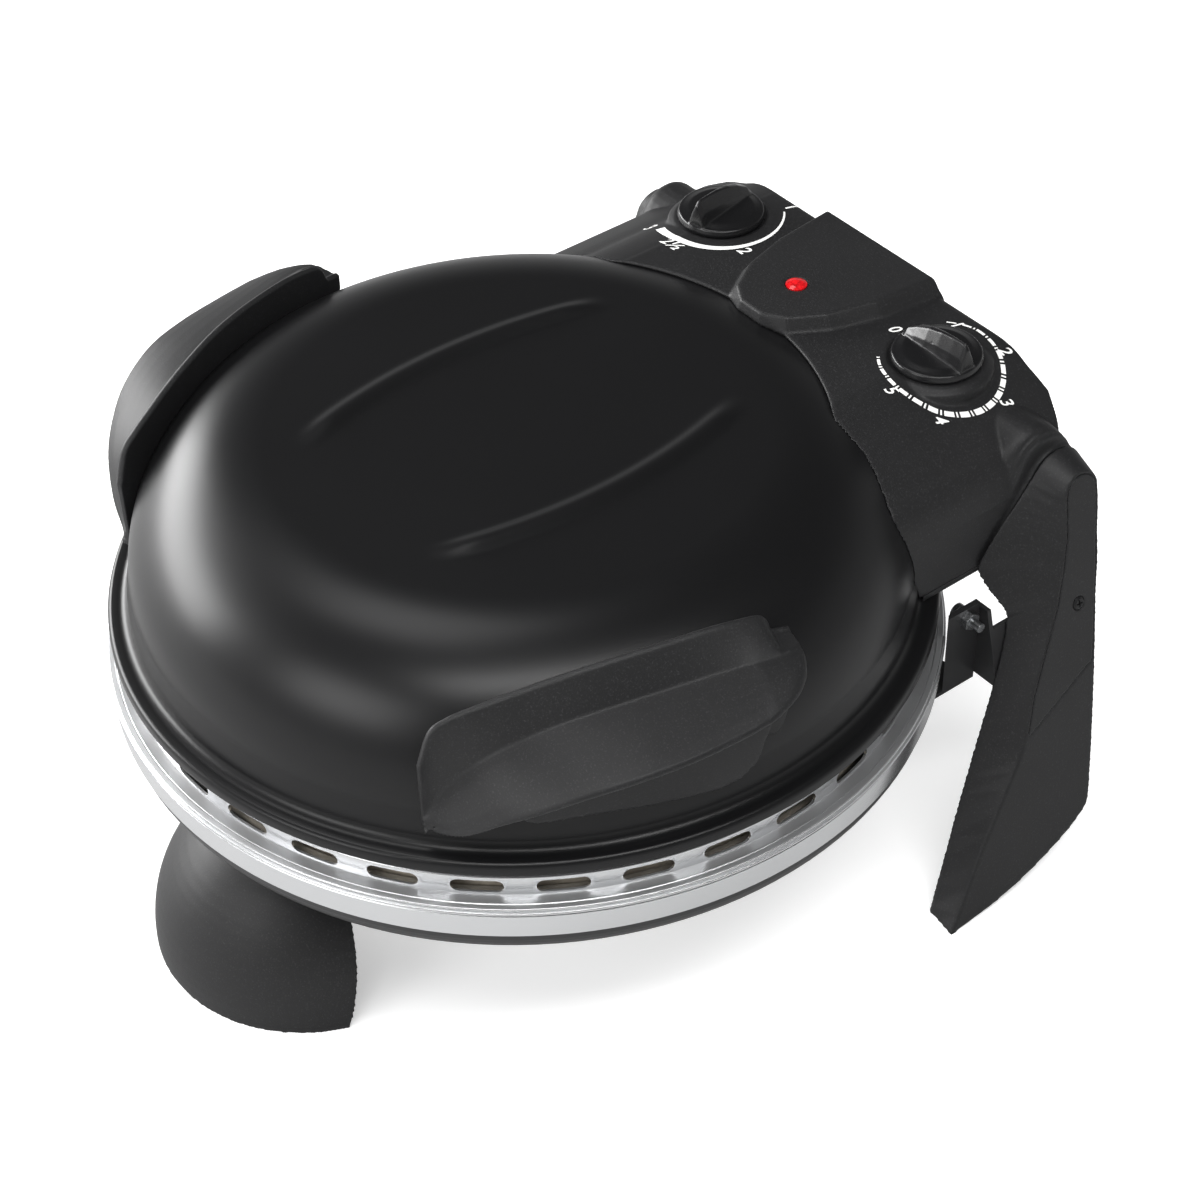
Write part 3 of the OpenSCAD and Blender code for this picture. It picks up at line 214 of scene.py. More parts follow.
def padPrint(look):
    # Pad-printed ink on the grained plastic: an even off-white, a little broken by the grain.
    material, tree, place = startMaterial("whitePadPrintInk")
    grain = addNode(tree, "ShaderNodeTexNoise", {"Vector": place, "Scale": perMetre(look["grainMm"]),
                                                 "Detail": 3.0})
    colour = addNode(tree, "ShaderNodeMixRGB", {"Fac": grain.outputs["Fac"], "Color1": linear(look["colour"]),
                                                "Color2": linear(look["thin"])})
    bump = addNode(tree, "ShaderNodeBump", {"Height": grain.outputs["Fac"], "Strength": 0.2,
                                            "Distance": look["bumpMm"] * mm})
    closeMaterial(tree, Base_Color=colour.outputs[0], Roughness=look["rough"], Normal=bump.outputs[0])
    return material


# the pale colour draws both the grain's light flecks and the painted highlight on the edges
mouldingLook = {"colour": "#171718", "cloud": "#1c1c1d", "paintedHighlightAndFleck": "#464648", "grainMm": 0.7, "cloudMm": 40,
                "edgeMm": 0.5, "edgeHighlightStrength": 0.4, "rough": 0.5, "bump": 0.5, "bumpMm": 0.1, "fleck": 0.35,
                "specular": 0.36}
# the knobs get a stronger and paler painted highlight on their edges
knobLook = dict(mouldingLook, colour="#111112", cloud="#151516", paintedHighlightAndFleck="#6a6a6c", grainMm=0.5, rough=0.24,
                bump=0.03, bumpMm=0.01, edgeMm=0.4, edgeHighlightStrength=0.5, fleck=0.02, specular=0.5)
paleLook = dict(mouldingLook, colour="#d9d2bd", cloud="#cdc5ae", paintedHighlightAndFleck="#efe9d8", rough=0.5)
bushLook = dict(mouldingLook, colour="#38383a", cloud="#303032", paintedHighlightAndFleck="#5a5a5c", rough=0.4)
brightLook = {"colour": "#c8cacb", "patch": "#b6b8ba", "metallic": 1.0, "rough": 0.16, "lineMm": 0.5,
              "patchMm": 30, "stretch": (1, 1, 12), "bump": 0.1, "bumpMm": 0.02, "edgeMm": 0.25}
polishedLook = {"colour": "#e4e5e6", "cloud": "#dcdddf", "cloudMm": 60, "scuffMm": 1.2, "rough": 0.2,
                "ledgeRough": 0.5, "bump": 0.05, "bumpMm": 0.01}
enamelLook = {"colour": "#0f0f10", "cloud": "#121213", "peelMm": 5, "grainMm": 0.6, "cloudMm": 60,
              "rough": 0.33, "specular": 0.3}
darkSheetLook = dict(brightLook, colour="#1d1d1e", patch="#232324", metallic=0.0, rough=0.42, bump=0.2)
sheathLook = dict(brightLook, colour="#6e6a66", patch="#57504b", rough=0.38, bump=0.3)
screwLook = dict(brightLook, colour="#a9abac", patch="#8e9092", rough=0.28, lineMm=0.3, patchMm=2)
darkScrewLook = dict(screwLook, colour="#2b2b2c", patch="#1e1e1f", metallic=0.6, rough=0.4)
clayLook = {"colour": "#c9c0b2", "cloud": "#9c9182", "grog": "#786b5b", "grogMm": 2.5, "dustMm": 6,
            "bumpMm": 0.2, "rough": 0.85}
lensLook = {"colour": "#d81b20", "cell": "#8d0a10", "cellMm": 1.6, "bumpMm": 0.1, "rough": 0.12}
inkLook = {"colour": "#f4f4f2", "thin": "#cfcfcd", "grainMm": 0.6, "bumpMm": 0.02, "rough": 0.55}

finishes = {
    "black_moulding": mouldedPlastic("grainedPolypropylene", mouldingLook),
    "black_knob": mouldedPlastic("glossyPhenolic", knobLook),
    "black_enamel": satinEnamel(enamelLook),
    "polished_steel": polishedSteel(polishedLook),
    "inner_steel": sheetMetal("brightRolledSteel", brightLook),
    "dark_sheet": sheetMetal("blackCoatedSheet", darkSheetLook),
    "heater_sheath": sheetMetal("heatTintedSheath", sheathLook),
    "baking_stone": firedClay(clayLook),
    "screw_steel": sheetMetal("zincPlatedSteel", screwLook),
    "dark_screw": sheetMetal("blackOxideSteel", darkScrewLook),
    "red_lens": lensAcrylic(lensLook),
    "pale_moulding": mouldedPlastic("heatResistantMoulding", paleLook),
    "nylon_bush": mouldedPlastic("greyNylon", bushLook),
}
for part in frame["record"]["subparts"]:
    solid = nodes[part["node"]]
    solid.data.materials.clear()
    solid.data.materials.append(finishes[part["material_slot"]])
print("finishes set on every solid")


# making pieces

def newPiece(name, mesh, body, slotName, material=None, sharpDeg=40):
    mesh.materials.clear()
    mesh.materials.append(material or finishes[slotName])
    mesh.shade_smooth()
    mesh.set_sharp_from_angle(angle=math.radians(sharpDeg))
    piece = bpy.data.objects.new(name, mesh)
    bpy.context.scene.collection.objects.link(piece)
    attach(piece, body)
    return piece


def meshOf(name, points, faces):
    mesh = bpy.data.meshes.new(name)
    mesh.from_pydata(points, [], faces)
    mesh.validate()
    return mesh


def draftOf(mesh):
    draft = bpy.data.objects.new("draft", mesh)
    bpy.context.scene.collection.objects.link(draft)
    return draft


def finished(draft):
    # the draft's mesh with its modifiers applied, and the draft gone
    bpy.context.view_layer.update()
    mesh = bpy.data.meshes.new_from_object(draft.evaluated_get(bpy.context.evaluated_depsgraph_get()))
    bpy.data.objects.remove(draft)
    return mesh


def carved(mesh, cutterMesh):
    # the mesh with the cutter's space taken away
    draft, cutter = draftOf(mesh), draftOf(cutterMesh)
    cut = draft.modifiers.new("cut", "BOOLEAN")
    cut.operation = "DIFFERENCE"
    cut.solver = "EXACT"
    cut.object = cutter
    mesh = finished(draft)
    bpy.data.objects.remove(cutter)
    return mesh


def softened(name, mesh, node, body, slotName, shape):
    # a closed form, drawn in fine even faces whose edges are rounded as a mould rounds them
    draft = draftOf(mesh)
    remesh = draft.modifiers.new("even", "REMESH")
    remesh.mode = "VOXEL"
    remesh.voxel_size = shape["voxelMm"] * mm
    smooth = draft.modifiers.new("rounded", "SMOOTH")
    smooth.factor = 0.5
    smooth.iterations = shape["passes"]
    piece = newPiece(name, finished(draft), body, slotName, sharpDeg=75)
    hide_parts(node)


mouldings = {
    "housingShell": ("control_housing", "lid", {"voxelMm": 0.6, "passes": 6}),
    "leftHandlePadShell": ("left_handle_pad", "lid", {"voxelMm": 0.8, "passes": 4}),
    "rightHandlePadShell": ("right_handle_pad", "lid", {"voxelMm": 0.8, "passes": 4}),
    "leftLegShell": ("left_leg", "base", {"voxelMm": 0.6, "passes": 10}),
    "rightLegShell": ("right_leg", "base", {"voxelMm": 0.6, "passes": 10}),
    "leftLegCoverPlate": ("left_leg_cover", "base", {"voxelMm": 0.4, "passes": 3}),
    "rightLegCoverPlate": ("right_leg_cover", "base", {"voxelMm": 0.4, "passes": 3}),
    "frontFootShell": ("front_foot", "base", {"voxelMm": 0.8, "passes": 4}),
}
for name, (node, body, shape) in mouldings.items():
    softened(name, nodes[node].data.copy(), node, body, "black_moulding", shape)
print("mouldings softened")


def turnedMesh(name, profile, steps, lift=None):
    # a closed profile of [radius, height] in mm, turned round the upright axis
    points, faces = [], []
    rows = len(profile)
    for i in range(steps):
        turn = 2 * math.pi * i / steps
        for radius, height in profile:
            x, y = radius * math.cos(turn), radius * math.sin(turn)
            points.append((x * mm, y * mm, (height + (lift(x, y) if lift else 0)) * mm))
    for i in range(steps):
        here, there = i * rows, (i + 1) % steps * rows
        for j in range(rows):
            k = (j + 1) % rows
            faces.append((here + j, there + j, there + k, here + k))
    mesh = meshOf(name, points, faces)
    work = bmesh.new()
    work.from_mesh(mesh)
    bmesh.ops.remove_doubles(work, verts=work.verts, dist=1e-7)
    bmesh.ops.recalc_face_normals(work, faces=work.faces)
    work.to_mesh(mesh)
    work.free()
    return mesh


# the dome, with its two pressed ridges
dome = {"topZ": 199, "radius": 157, "shoulder": 57.5, "flangeR": 167.5, "flangeZ": 122.6, "sheet": 1.0,
        "ridgeH": 1.9, "ridgeW": 13, "ridgeX": 55, "ridgeFarX": 70, "ridgeSag": 13.2, "ridgeHalf": 77.5,
        "ridgeY": 2.5, "ridgeFade": 22, "topRings": 70, "turns": 300}


def arcPoints(cx, cy, radius, startDeg, endDeg, steps):
    turns = [math.radians(startDeg + (endDeg - startDeg) * i / steps) for i in range(steps + 1)]
    return [(cx + radius * math.cos(t), cy + radius * math.sin(t)) for t in turns]


def ridgeLift(x, y):
    bow = (dome["ridgeHalf"] ** 2 + dome["ridgeSag"] ** 2) / (2 * dome["ridgeSag"])
    away = abs(math.hypot(abs(x) - dome["ridgeX"] + bow, y - dome["ridgeY"]) - bow)
    along = dome["ridgeHalf"] - abs(y - dome["ridgeY"])
    if away > dome["ridgeW"] / 2 or along < 0 or abs(x) > dome["ridgeFarX"]:
        return 0
    across = (1 - (2 * away / dome["ridgeW"]) ** 2) ** 2
    fade = min(1, along / dome["ridgeFade"])
    return dome["ridgeH"] * across * fade * fade * (3 - 2 * fade)


def makeDome(s):
    shoulderX, shoulderZ = s["radius"] - s["shoulder"], s["topZ"] - s["shoulder"]
    flatRings = [(shoulderX * (1 - i / s["topRings"]), s["topZ"]) for i in range(1, s["topRings"] + 1)]
    rim = [(s["flangeR"], s["flangeZ"]), (s["flangeR"] + 0.1, s["flangeZ"] + 1.2)]
    rim += arcPoints(s["flangeR"] - 2.6, s["flangeZ"] + 2.8, 2.6, 0, 75, 6)
    rim += arcPoints(s["radius"] + 6.2, s["flangeZ"] + 9.6, 4.4, -90, -176, 8)
    wall = [(s["radius"] + 1.4, shoulderZ - 4)]
    outer = rim + wall + arcPoints(shoulderX, shoulderZ, s["shoulder"], 0, 90, 40) + flatRings
    inner = [(s["flangeR"] - s["sheet"], s["flangeZ"]), (s["radius"] + 2, s["flangeZ"] + 4.4)]
    inner += arcPoints(shoulderX, shoulderZ, s["shoulder"] - s["sheet"], 0, 90, 12)
    inner += [(0, s["topZ"] - s["sheet"])]
    mesh = turnedMesh("domeShell", outer + inner[::-1], s["turns"], ridgeLift)
    piece = newPiece("domeShell", mesh, "lid", "black_enamel", sharpDeg=50)
    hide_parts("lid_dome")


makeDome(dome)
print("dome pressed")


# the polished ring with its grooves and vent slots
ring = {"radius": 170, "lowZ": 93, "bandH": 11, "wallR": 162.2, "topZ": 116.2, "turns": 360, "slots": 32,
        "slotL": 20, "slotH": 6, "firstSlotDeg": 1.76, "roundSteps": 10}


def makeRing(s):
    grooveZ = s["lowZ"] + s["bandH"]
    ledgeZ = grooveZ + 3.4
    r, w = s["radius"], s["wallR"]
    outer = [(r - 0.3, s["lowZ"]), (r, s["lowZ"] + 0.3), (r + 0.35, grooveZ - 4), (r + 0.4, grooveZ - 0.2),
             (r + 0.2, grooveZ), (r - 0.1, grooveZ + 0.3), (r + 0.1, grooveZ + 0.6)]
    outer += arcPoints(r + 0.2, grooveZ + 1.3, 0.7, -60, 60, 8)
    outer += [(r - 0.3, grooveZ + 2.0), (r - 0.4, grooveZ + 2.2)]
    outer += arcPoints(r - 0.6, grooveZ + 2.8, 0.6, -20, 90, 8)
    outer += [(r - 2.4, ledgeZ + 0.1), (r - 2.7, ledgeZ - 0.2), (r - 3.0, ledgeZ + 0.05), (w + 0.6, ledgeZ),
              (w + 0.15, ledgeZ + 0.15), (w, ledgeZ + 0.6)]
    outer += arcPoints(w - 0.8, s["topZ"] - 0.8, 0.8, 0, 90, 6) + [(w - 2.6, s["topZ"])]
    inner = [(w - 2.6, s["topZ"] - 0.8), (w - 1, s["topZ"] - 0.9), (w - 1, ledgeZ - 0.9),
             (r - 1.6, ledgeZ - 0.9), (r - 1.1, grooveZ + 1.4), (r - 1.1, s["lowZ"])]
    mesh = carved(turnedMesh("ring", outer + inner, s["turns"]), slotCutters(s, ledgeZ + 0.9 + s["slotH"] / 2))
    piece = newPiece("ventedRing", mesh, "base", "polished_steel", sharpDeg=35)
    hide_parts("vent_ring")


def slotCutters(s, midZ):
    # one round-ended prism for each slot, pointing outwards through the wall
    points, faces = [], []
    half, radius = (s["slotL"] - s["slotH"]) / 2, s["slotH"] / 2
    outline = arcPoints(half, 0, radius, -90, 90, s["roundSteps"])
    outline += arcPoints(-half, 0, radius, 90, 270, s["roundSteps"])
    count = len(outline)
    for i in range(s["slots"]):
        turn = math.radians(s["firstSlotDeg"] + 360 * i / s["slots"])
        outward = Vector((math.sin(turn), -math.cos(turn), 0))
        along = Vector((math.cos(turn), math.sin(turn), 0))
        start = len(points)
        for reach in (s["wallR"] - 3, s["wallR"] + 3):
            points += [(outward * reach + along * x + Vector((0, 0, midZ + z))) * mm for x, z in outline]
        faces.append([start + k for k in range(count)][::-1])
        faces.append([start + count + k for k in range(count)])
        for k in range(count):
            k2 = (k + 1) % count
            faces.append([start + k, start + k2, start + count + k2, start + count + k])
    return upright(meshOf("slotCutters", points, faces))


def upright(mesh):
    # faces turned so that they all look outwards
    work = bmesh.new()
    work.from_mesh(mesh)
    bmesh.ops.recalc_face_normals(work, faces=work.faces)
    work.to_mesh(mesh)
    work.free()
    return mesh


makeRing(ring)
print("ring turned and slotted")


# the side handles: an upright lip with a ledge that swells outwards below it
handle = {
    "turnDeg": 18.3, "lipT": 3, "steps": 8, "voxelMm": 0.5, "passes": 3,
    # place along the handle, then [outward, height] of the lip's edge, of the hollow between lip
    # and ledge and of the ledge's edge, then the lowest height
    "rows": [
        (-84, (136, 168), (136.8, 141.5), (138, 141), 139.5),
        (-79, (135.4, 182), (137.5, 149), (143.5, 140.2), 138.5),
        (-72, (135.4, 186.5), (140, 160), (153.5, 146.5), 140),
        (-62, (136.3, 189.5), (144, 170.5), (163, 157), 144),
        (-50, (137.6, 192.6), (147, 177.5), (170, 164.6), 149),
        (-35, (138.8, 195.8), (148.5, 182), (175.4, 171.6), 153),
        (-15, (139.9, 198.8), (149, 184.4), (178.6, 176.4), 156),
        (5, (139.6, 200), (149, 186), (177.6, 178.1), 156),
        (25, (138, 200), (149, 187.4), (173.8, 179.2), 155),
        (36, (136.8, 199), (149, 188), (170.9, 180), 153),
        (40, (136.2, 198.4), (149, 188.2), (169.4, 180.6), 153),
        (44, (135.6, 197.6), (148.8, 188), (167.2, 181.2), 152),
        (47, (135.2, 196.2), (148.6, 187.8), (165.4, 181.7), 151),
        (49, (135, 193.4), (148.4, 187.7), (164, 182), 152),
        (50, (134.9, 190.2), (148.3, 187.6), (163.2, 182.2), 154),
        (51, (134.8, 188.6), (148.1, 187.5), (162.3, 182.4), 157),
        (53, (134.7, 188), (147.6, 187.3), (160.2, 182.8), 164),
        (56, (134.5, 187.6), (146.2, 187), (156, 183.6), 174),
        (58, (134.4, 187.2), (144.4, 186.7), (150.6, 184.6), 180)]}


def blend(a, b, c, d, t):
    # Catmull-Rom between b and c
    return b + 0.5 * t * (c - a + t * (2 * a - 5 * b + 4 * c - d + t * (3 * (b - c) + d - a)))


def smoothRows(rows, steps):
    flat = [[row[0], *row[1], *row[2], *row[3], row[4]] for row in rows]
    last = len(flat) - 1
    made = []
    for i in range(last):
        around = [flat[max(0, min(last, k))] for k in (i - 1, i, i + 1, i + 2)]
        for j in range(steps):
            made.append([blend(*values, j / steps) for values in zip(*around)])
    return made + [flat[last]]


def handleSection(row, lipT):
    along, lipX, lipZ, dipX, dipZ, edgeX, edgeZ, low = row
    bottom = min(low, dipZ - 6)
    crown = [(dipX + (edgeX - dipX) * t, dipZ + (edgeZ - dipZ) * t + 4 * t * (1 - t))
             for t in (0.2, 0.4, 0.6, 0.8)]
    section = [(lipX - lipT / 2, lipZ - 1), (lipX, lipZ), (lipX + lipT / 2, lipZ - 1), (dipX - 0.3, dipZ + 0.6),
               (dipX + 0.3, dipZ)]
    section += crown + [(edgeX - 1, edgeZ + 0.3), (edgeX, edgeZ - 1), (edgeX - 0.8, edgeZ - 2.8),
                        (dipX + 3, dipZ - 4.5), (dipX + 1.5, bottom), (lipX - lipT / 2, bottom)]
    return [(x, along, z) for x, z in section]


def loftMesh(name, rings):
    points = [Vector(p) * mm for ring in rings for p in ring]
    count = len(rings[0])
    faces = [list(range(count)), [len(points) - 1 - k for k in range(count)]]
    for i in range(len(rings) - 1):
        for k in range(count):
            a, b = i * count + k, i * count + (k + 1) % count
            faces.append([a, b, b + count, a + count])
    return upright(meshOf(name, points, faces))


def domeFiller():
    # the space that the dome takes up, as a cutter
    shoulderX, shoulderZ = dome["radius"] - dome["shoulder"], dome["topZ"] - dome["shoulder"]
    profile = [(0, dome["flangeZ"] - 10), (dome["radius"] + 3, dome["flangeZ"] - 10)]
    profile += [(dome["radius"] + 3, shoulderZ - 13)]
    profile += arcPoints(shoulderX, shoulderZ, dome["shoulder"] - 0.2, 0, 90, 30) + [(0, dome["topZ"] - 0.2)]
    return turnedMesh("domeFiller", profile, 180)


def makeHandles(s):
    rings = [handleSection(row, s["lipT"]) for row in smoothRows(s["rows"], s["steps"])]
    for side, name, node in ((1, "rightHandleShell", "right_handle"), (-1, "leftHandleShell", "left_handle")):
        mesh = loftMesh(name, rings)
        mesh.transform(Matrix.Rotation(math.radians(-s["turnDeg"]), 4, "Z"))
        if side < 0:
            mesh.transform(Matrix.Scale(-1, 4, (1, 0, 0)))
            upright(mesh)
        softened(name, carved(mesh, domeFiller()), node, "lid", "black_moulding", s)


makeHandles(handle)
print("handles lofted")


# where the dials sit, and how their print lies on the housing
dials = {"y": 159, "scaleX": {-1: -67, 1: 69.8}, "inkMm": 0.14, "fromZ": 230, "faceZ": 193, "slant": 0.3,
         "boldness": 0.015, "faceMm": 0.6}

# the knobs: a skirt with a rim, and a wedge-shaped grip that is tall at its pointer
knob = {"radius": 18.8, "lowZ": 194.7, "rimZ": 198.1, "gripTopZ": 209.6, "boreR": 3.0, "boreTop": 203.4,
        "voxelMm": 0.3, "passes": 3}
knobs = {"thermostatKnobCap": ("thermostat_knob", "thermostat_dial", -67, 12),
         "timerKnobCap": ("timer_knob", "timer_dial", 67, 90)}


def gripMesh(s):
    # stations along the grip from its pointer to its tail: place, top height, half width at
    # the foot and at the top
    top = s["gripTopZ"] - s["rimZ"]
    stations = [(-17.6, top * 0.2, 3.6, 1.4), (-17.2, top * 0.8, 4.0, 0.7), (-15.6, top, 4.3, 0.5),
                (-10, top * 0.99, 4.6, 0.6), (-3, top * 0.93, 4.8, 0.9), (4, top * 0.8, 4.9, 1.3),
                (10, top * 0.6, 4.8, 1.8), (15, top * 0.35, 4.4, 2.2), (17.4, top * 0.08, 3.6, 2.6)]
    rings = []
    for along, height, foot, crest in stations:
        z = s["rimZ"] + height
        low = s["rimZ"] - 0.6
        waist = crest + (foot - crest) * 0.62
        rings.append([(-foot, along, low), (-foot, along, low + 0.8), (-waist, along, low + (z - low) * 0.5),
                      (-crest, along, z - 0.2), (0, along, z), (crest, along, z - 0.2),
                      (waist, along, low + (z - low) * 0.5), (foot, along, low + 0.8), (foot, along, low)])
    return loftMesh("grip", rings)


def makeKnobs(s):
    r, low, rim = s["radius"], s["lowZ"], s["rimZ"]
    skirt = [(0, low + 2), (5, low + 2), (5, low), (r - 3.4, low), (r - 0.5, low), (r, low + 0.5),
             (r, low + 1.4), (r - 0.5, rim - 0.3), (r - 1.0, rim), (r - 2.2, rim + 0.2), (r - 5, rim + 1.0),
             (0, rim + 1.4)]
    bore = arcPoints(0, 0, s["boreR"], 0, 350, 35)
    boreMesh = loftMesh("bore", [[(x, y, z) for x, y in bore] for z in (low - 1, s["boreTop"])])
    for name, (node, body, x, pointerDeg) in knobs.items():
        whole = bmesh.new()
        whole.from_mesh(carved(turnedMesh("skirt", skirt, 120), boreMesh.copy()))
        whole.from_mesh(carved(gripMesh(s), boreMesh.copy()))
        mesh = bpy.data.meshes.new(name)
        whole.to_mesh(mesh)
        whole.free()
        turn = Matrix.Rotation(math.radians(pointerDeg), 4, "Z")
        mesh.transform(Matrix.Translation((x * mm, dials["y"] * mm, 0)) @ turn)
        softened(name, mesh, node, body, "black_knob", s)


makeKnobs(knob)
print("knobs moulded")


# dial prints, laid on the housing's grained face
shellMesh = bpy.data.objects["housingShell"].data
shellTree = BVHTree.FromPolygons([v.co for v in shellMesh.vertices], [p.vertices for p in shellMesh.polygons])


def layOnHousing(mesh):
    # drops every point of a flat print on the housing's face, just proud of it
    for vertex in mesh.vertices:
        x, y = vertex.co.x, vertex.co.y
        hit = shellTree.ray_cast(Vector((x, y, dials["fromZ"] * mm)), Vector((0, 0, -1)))[0]
        if not hit:  # past the housing's edge
            hit = shellTree.find_nearest(Vector((x, y, dials["faceZ"] * mm)))[0]
        vertex.co = (hit.x, hit.y, hit.z + dials["inkMm"] * mm)
    return mesh


def atDial(side, angleDeg, radius):
    # a place round a dial, with the angle from the front towards the right
    turn = math.radians(angleDeg)
    return dials["scaleX"][side] + radius * math.sin(turn), dials["y"] - radius * math.cos(turn)


def arcBand(side, startDeg, endDeg, radiusAt, widthAt, steps):
    # a printed band round a dial, whose radius and width may change along it
    points, faces = [], []
    for i in range(steps + 1):
        t = i / steps
        for across in (-0.5, 0, 0.5):
            x, y = atDial(side, startDeg + (endDeg - startDeg) * t, radiusAt(t) + across * widthAt(t))
            points.append((x * mm, y * mm, 0))
        if i:
            for k in (0, 1):
                a = (i - 1) * 3 + k
                faces.append((a, a + 1, a + 4, a + 3))
    return points, faces


def numeral(text, sizeMm, x, y):
    # a plain slanted number as fine flat faces
    curve = bpy.data.curves.new("numeral", "FONT")
    curve.body = text
    curve.size = sizeMm * mm
    curve.shear = dials["slant"]
    curve.offset = dials["boldness"] * sizeMm * mm
    curve.resolution_u = 6
    curve.align_x, curve.align_y = "CENTER", "CENTER"
    mesh = finished(draftOf(curve))
    work = bmesh.new()
    work.from_mesh(mesh)
    for _ in range(4):
        bmesh.ops.triangulate(work, faces=work.faces)
        wide = [edge for edge in work.edges if edge.calc_length() > dials["faceMm"] * mm]
        bmesh.ops.subdivide_edges(work, edges=wide, cuts=1)
    bmesh.ops.triangulate(work, faces=work.faces)
    work.to_mesh(mesh)
    work.free()
    mesh.transform(Matrix.Translation((x * mm, y * mm, 0)))
    return [tuple(v.co) for v in mesh.vertices], [tuple(p.vertices) for p in mesh.polygons]


def printPiece(name, parts):
    points, faces = [], []
    for partPoints, partFaces in parts:
        start = len(points)
        points += partPoints
        faces += [tuple(start + i for i in face) for face in partFaces]
    newPiece(name, layOnHousing(meshOf(name, points, faces)), "lid", "pale_moulding", padPrint(inkLook))


# each number with its angle from the front and its distance from the dial's middle, then the band
thermostatScale = {"numbers": [("3", -38, 31), ("2½", 8, 31.5), ("2", 68, 30), ("1", 150, 30)], "size": 8,
                   "from": -25, "to": 142, "radius": 27, "thick": 4.0, "thin": 0.7}
timerScale = {"numbers": [("0", -88, 27), ("1", -147, 24.5), ("2", 162, 28), ("3", 112, 28.6), ("4", 46, 28.6),
                          ("5", 2, 28.6)],
              "size": 7.4, "radius": 25.2, "from": 222, "to": -44, "dashes": 18, "thin": 0.6, "thick": 2.5,
              "thickestAt": 0.55}


def makeThermostatScale(s):
    parts = [arcBand(-1, s["from"], s["to"], lambda t: s["radius"],
                     lambda t: s["thick"] + (s["thin"] - s["thick"]) * t, 90)]
    parts += [numeral(text, s["size"], *atDial(-1, angle, radius)) for text, angle, radius in s["numbers"]]
    printPiece("thermostatScalePrint", parts)


def makeTimerScale(s):
    parts = []
    step = (s["to"] - s["from"]) / s["dashes"]
    for i in range(s["dashes"]):
        start = s["from"] + i * step
        away = abs((i + 0.5) / s["dashes"] - s["thickestAt"]) / s["thickestAt"]
        width = s["thick"] + (s["thin"] - s["thick"]) * min(1, away) ** 1.5
        parts.append(arcBand(1, start, start + step * 0.62, lambda t: s["radius"], lambda t, w=width: w, 10))
        parts.append(arcBand(1, start + step * 0.76, start + step * 0.87, lambda t: s["radius"],
                             lambda t, w=width: w, 4))
    parts += [numeral(text, s["size"], *atDial(1, angle, radius)) for text, angle, radius in s["numbers"]]
    printPiece("timerScalePrint", parts)


makeThermostatScale(thermostatScale)
makeTimerScale(timerScale)
print("dial prints laid")


# camera, floor, light
cameraView = {"azimuth": 52.7634, "elevation": 41.0617, "roll": -1.3677, "distanceMm": 1159.885,
              "targetMm": (4.972, 36.535, 92.132), "focalPx": 2778.34, "centrePx": (604.57, 599.07),
              "imagePx": 1200}


def placeCamera(v):
    azimuth, elevation, roll = (math.radians(v[k]) for k in ("azimuth", "elevation", "roll"))
    back = Vector((math.sin(azimuth) * math.cos(elevation), -math.cos(azimuth) * math.cos(elevation),
                   math.sin(elevation)))
    level = Vector((math.cos(azimuth), math.sin(azimuth), 0))
    raised = back.cross(level)
    right = math.cos(roll) * level + math.sin(roll) * raised
    up = math.cos(roll) * raised - math.sin(roll) * level
    data = bpy.data.cameras.new("photoCamera")
    data.sensor_width = 36
    data.lens = v["focalPx"] / v["imagePx"] * data.sensor_width
    data.shift_x = (v["imagePx"] / 2 - v["centrePx"][0]) / v["imagePx"]
    data.shift_y = (v["centrePx"][1] - v["imagePx"] / 2) / v["imagePx"]
    camera = bpy.data.objects.new("photoCamera", data)
    bpy.context.scene.collection.objects.link(camera)
    camera.matrix_world = Matrix.Translation(Vector(v["targetMm"]) * mm + back * v["distanceMm"] * mm) @ Matrix(
        (right, up, back)).transposed().to_4x4()
    bpy.context.scene.camera = camera


# in reflections the paper is a mid grey, as a dark studio leaves it
paper = {"halfM": 8.0, "colour": "#f6f6f6", "reflected": "#b4b4b4", "glow": 0.32, "rough": 0.9, "specular": 0.1}


def makeFloor(s):
    half = s["halfM"]
    corners = [(-half, -half, 0), (half, -half, 0), (half, half, 0), (-half, half, 0)]
    mesh = meshOf("floor", corners, [(0, 1, 2, 3)])
    material, tree, _ = startMaterial("whiteStudioPaper")
    rays = addNode(tree, "ShaderNodeLightPath")
    glow = addNode(tree, "ShaderNodeMath", {0: rays.outputs["Is Camera Ray"], 1: s["glow"]},
                   operation="MULTIPLY")
    colour = addNode(tree, "ShaderNodeMixRGB", {
        "Fac": rays.outputs["Is Glossy Ray"], "Color1": linear(s["colour"]), "Color2": linear(s["reflected"])})
    shader = addNode(tree, "ShaderNodeBsdfPrincipled", {
        "Base Color": colour.outputs[0], "Roughness": s["rough"], "Specular IOR Level": s["specular"],
        "Emission Color": linear("#ffffff"), "Emission Strength": glow.outputs[0]})
    addNode(tree, "ShaderNodeOutputMaterial", {"Surface": shader.outputs["BSDF"]})
    mesh.materials.append(material)
    floor = bpy.data.objects.new("floor", mesh)
    bpy.context.scene.collection.objects.link(floor)


# the studio's light: what lights the object, and what reflections see low down and above
studio = {"light": 0.8, "lowZ": 0.1, "highZ": 0.5, "horizon": 0.4, "ceiling": 0.03}


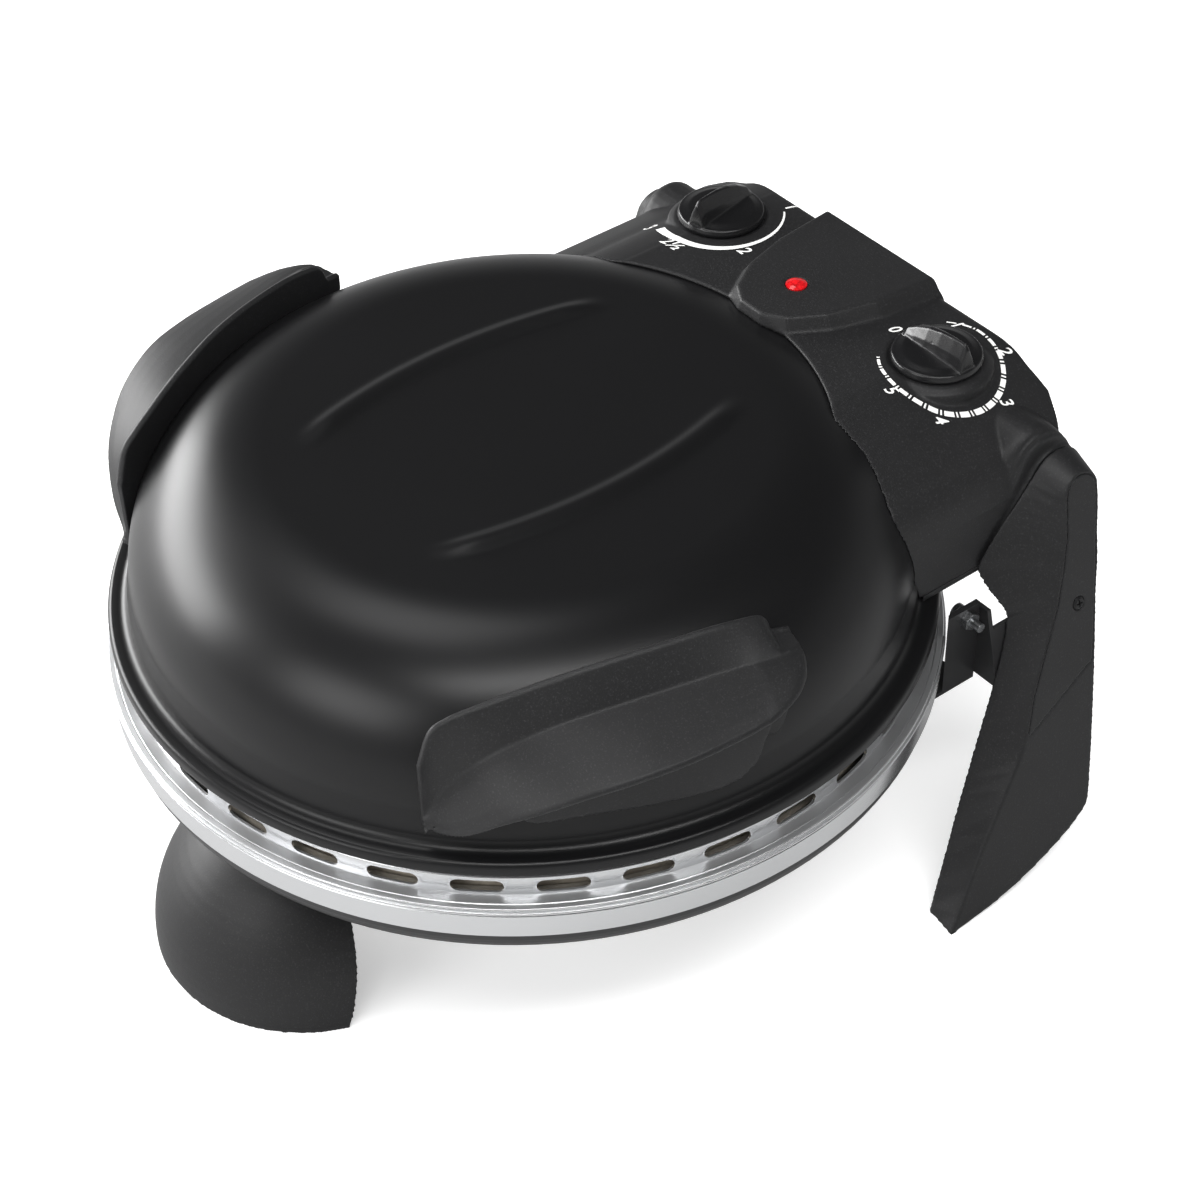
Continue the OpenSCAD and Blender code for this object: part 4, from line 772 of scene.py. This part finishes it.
def makeWorld(s):
    world = bpy.data.worlds.new("studio")
    world.use_nodes = True
    tree = world.node_tree
    tree.nodes.clear()
    rays = addNode(tree, "ShaderNodeLightPath")
    direction = addNode(tree, "ShaderNodeTexCoord").outputs["Generated"]
    towards = addNode(tree, "ShaderNodeSeparateXYZ", {0: direction})
    ceiling = addNode(tree, "ShaderNodeMapRange", {
        "Value": towards.outputs["Z"], "From Min": s["lowZ"], "From Max": s["highZ"],
        "To Min": s["horizon"], "To Max": s["ceiling"]}, interpolation_type="SMOOTHSTEP")
    glossy = addNode(tree, "ShaderNodeMixRGB", {"Fac": rays.outputs["Is Glossy Ray"],
                                                "Color1": [s["light"]] * 3 + [1], "Color2": ceiling.outputs[0]})
    seen = addNode(tree, "ShaderNodeMixRGB", {"Fac": rays.outputs["Is Camera Ray"],
                                              "Color1": glossy.outputs[0], "Color2": (1, 1, 1, 1)})
    back = addNode(tree, "ShaderNodeBackground", {"Color": seen.outputs[0], "Strength": 1.0})
    addNode(tree, "ShaderNodeOutputWorld", {"Surface": back.outputs[0]})
    bpy.context.scene.world = world


softBoxes = [  # name, place, width and height in metres, watts
    ("leftBox", (-1.75, -0.8, 0.6), 1.8, 0.8, 60),
    ("topBox", (-0.7, -0.2, 2.3), 1.0, 1.0, 12),
    ("frontBox", (0.1, -1.9, 1.05), 1.1, 0.8, 14),
    ("rightStrip", (0.75, -0.35, 1.55), 1.5, 0.3, 16),
]


def placeSoftBox(name, place, width, height, watts):
    data = bpy.data.lights.new(name, "AREA")
    data.shape = "RECTANGLE"
    data.size, data.size_y = width, height
    data.energy = watts
    lamp = bpy.data.objects.new(name, data)
    lamp.location = place
    lamp.rotation_euler = (Vector((0, 0, 0.12)) - Vector(place)).to_track_quat("-Z", "Y").to_euler()
    bpy.context.scene.collection.objects.link(lamp)


placeCamera(cameraView)
makeFloor(paper)
makeWorld(studio)
for box in softBoxes:
    placeSoftBox(*box)
bpy.context.scene.view_settings.view_transform = "Standard"
print("camera, floor and light set")
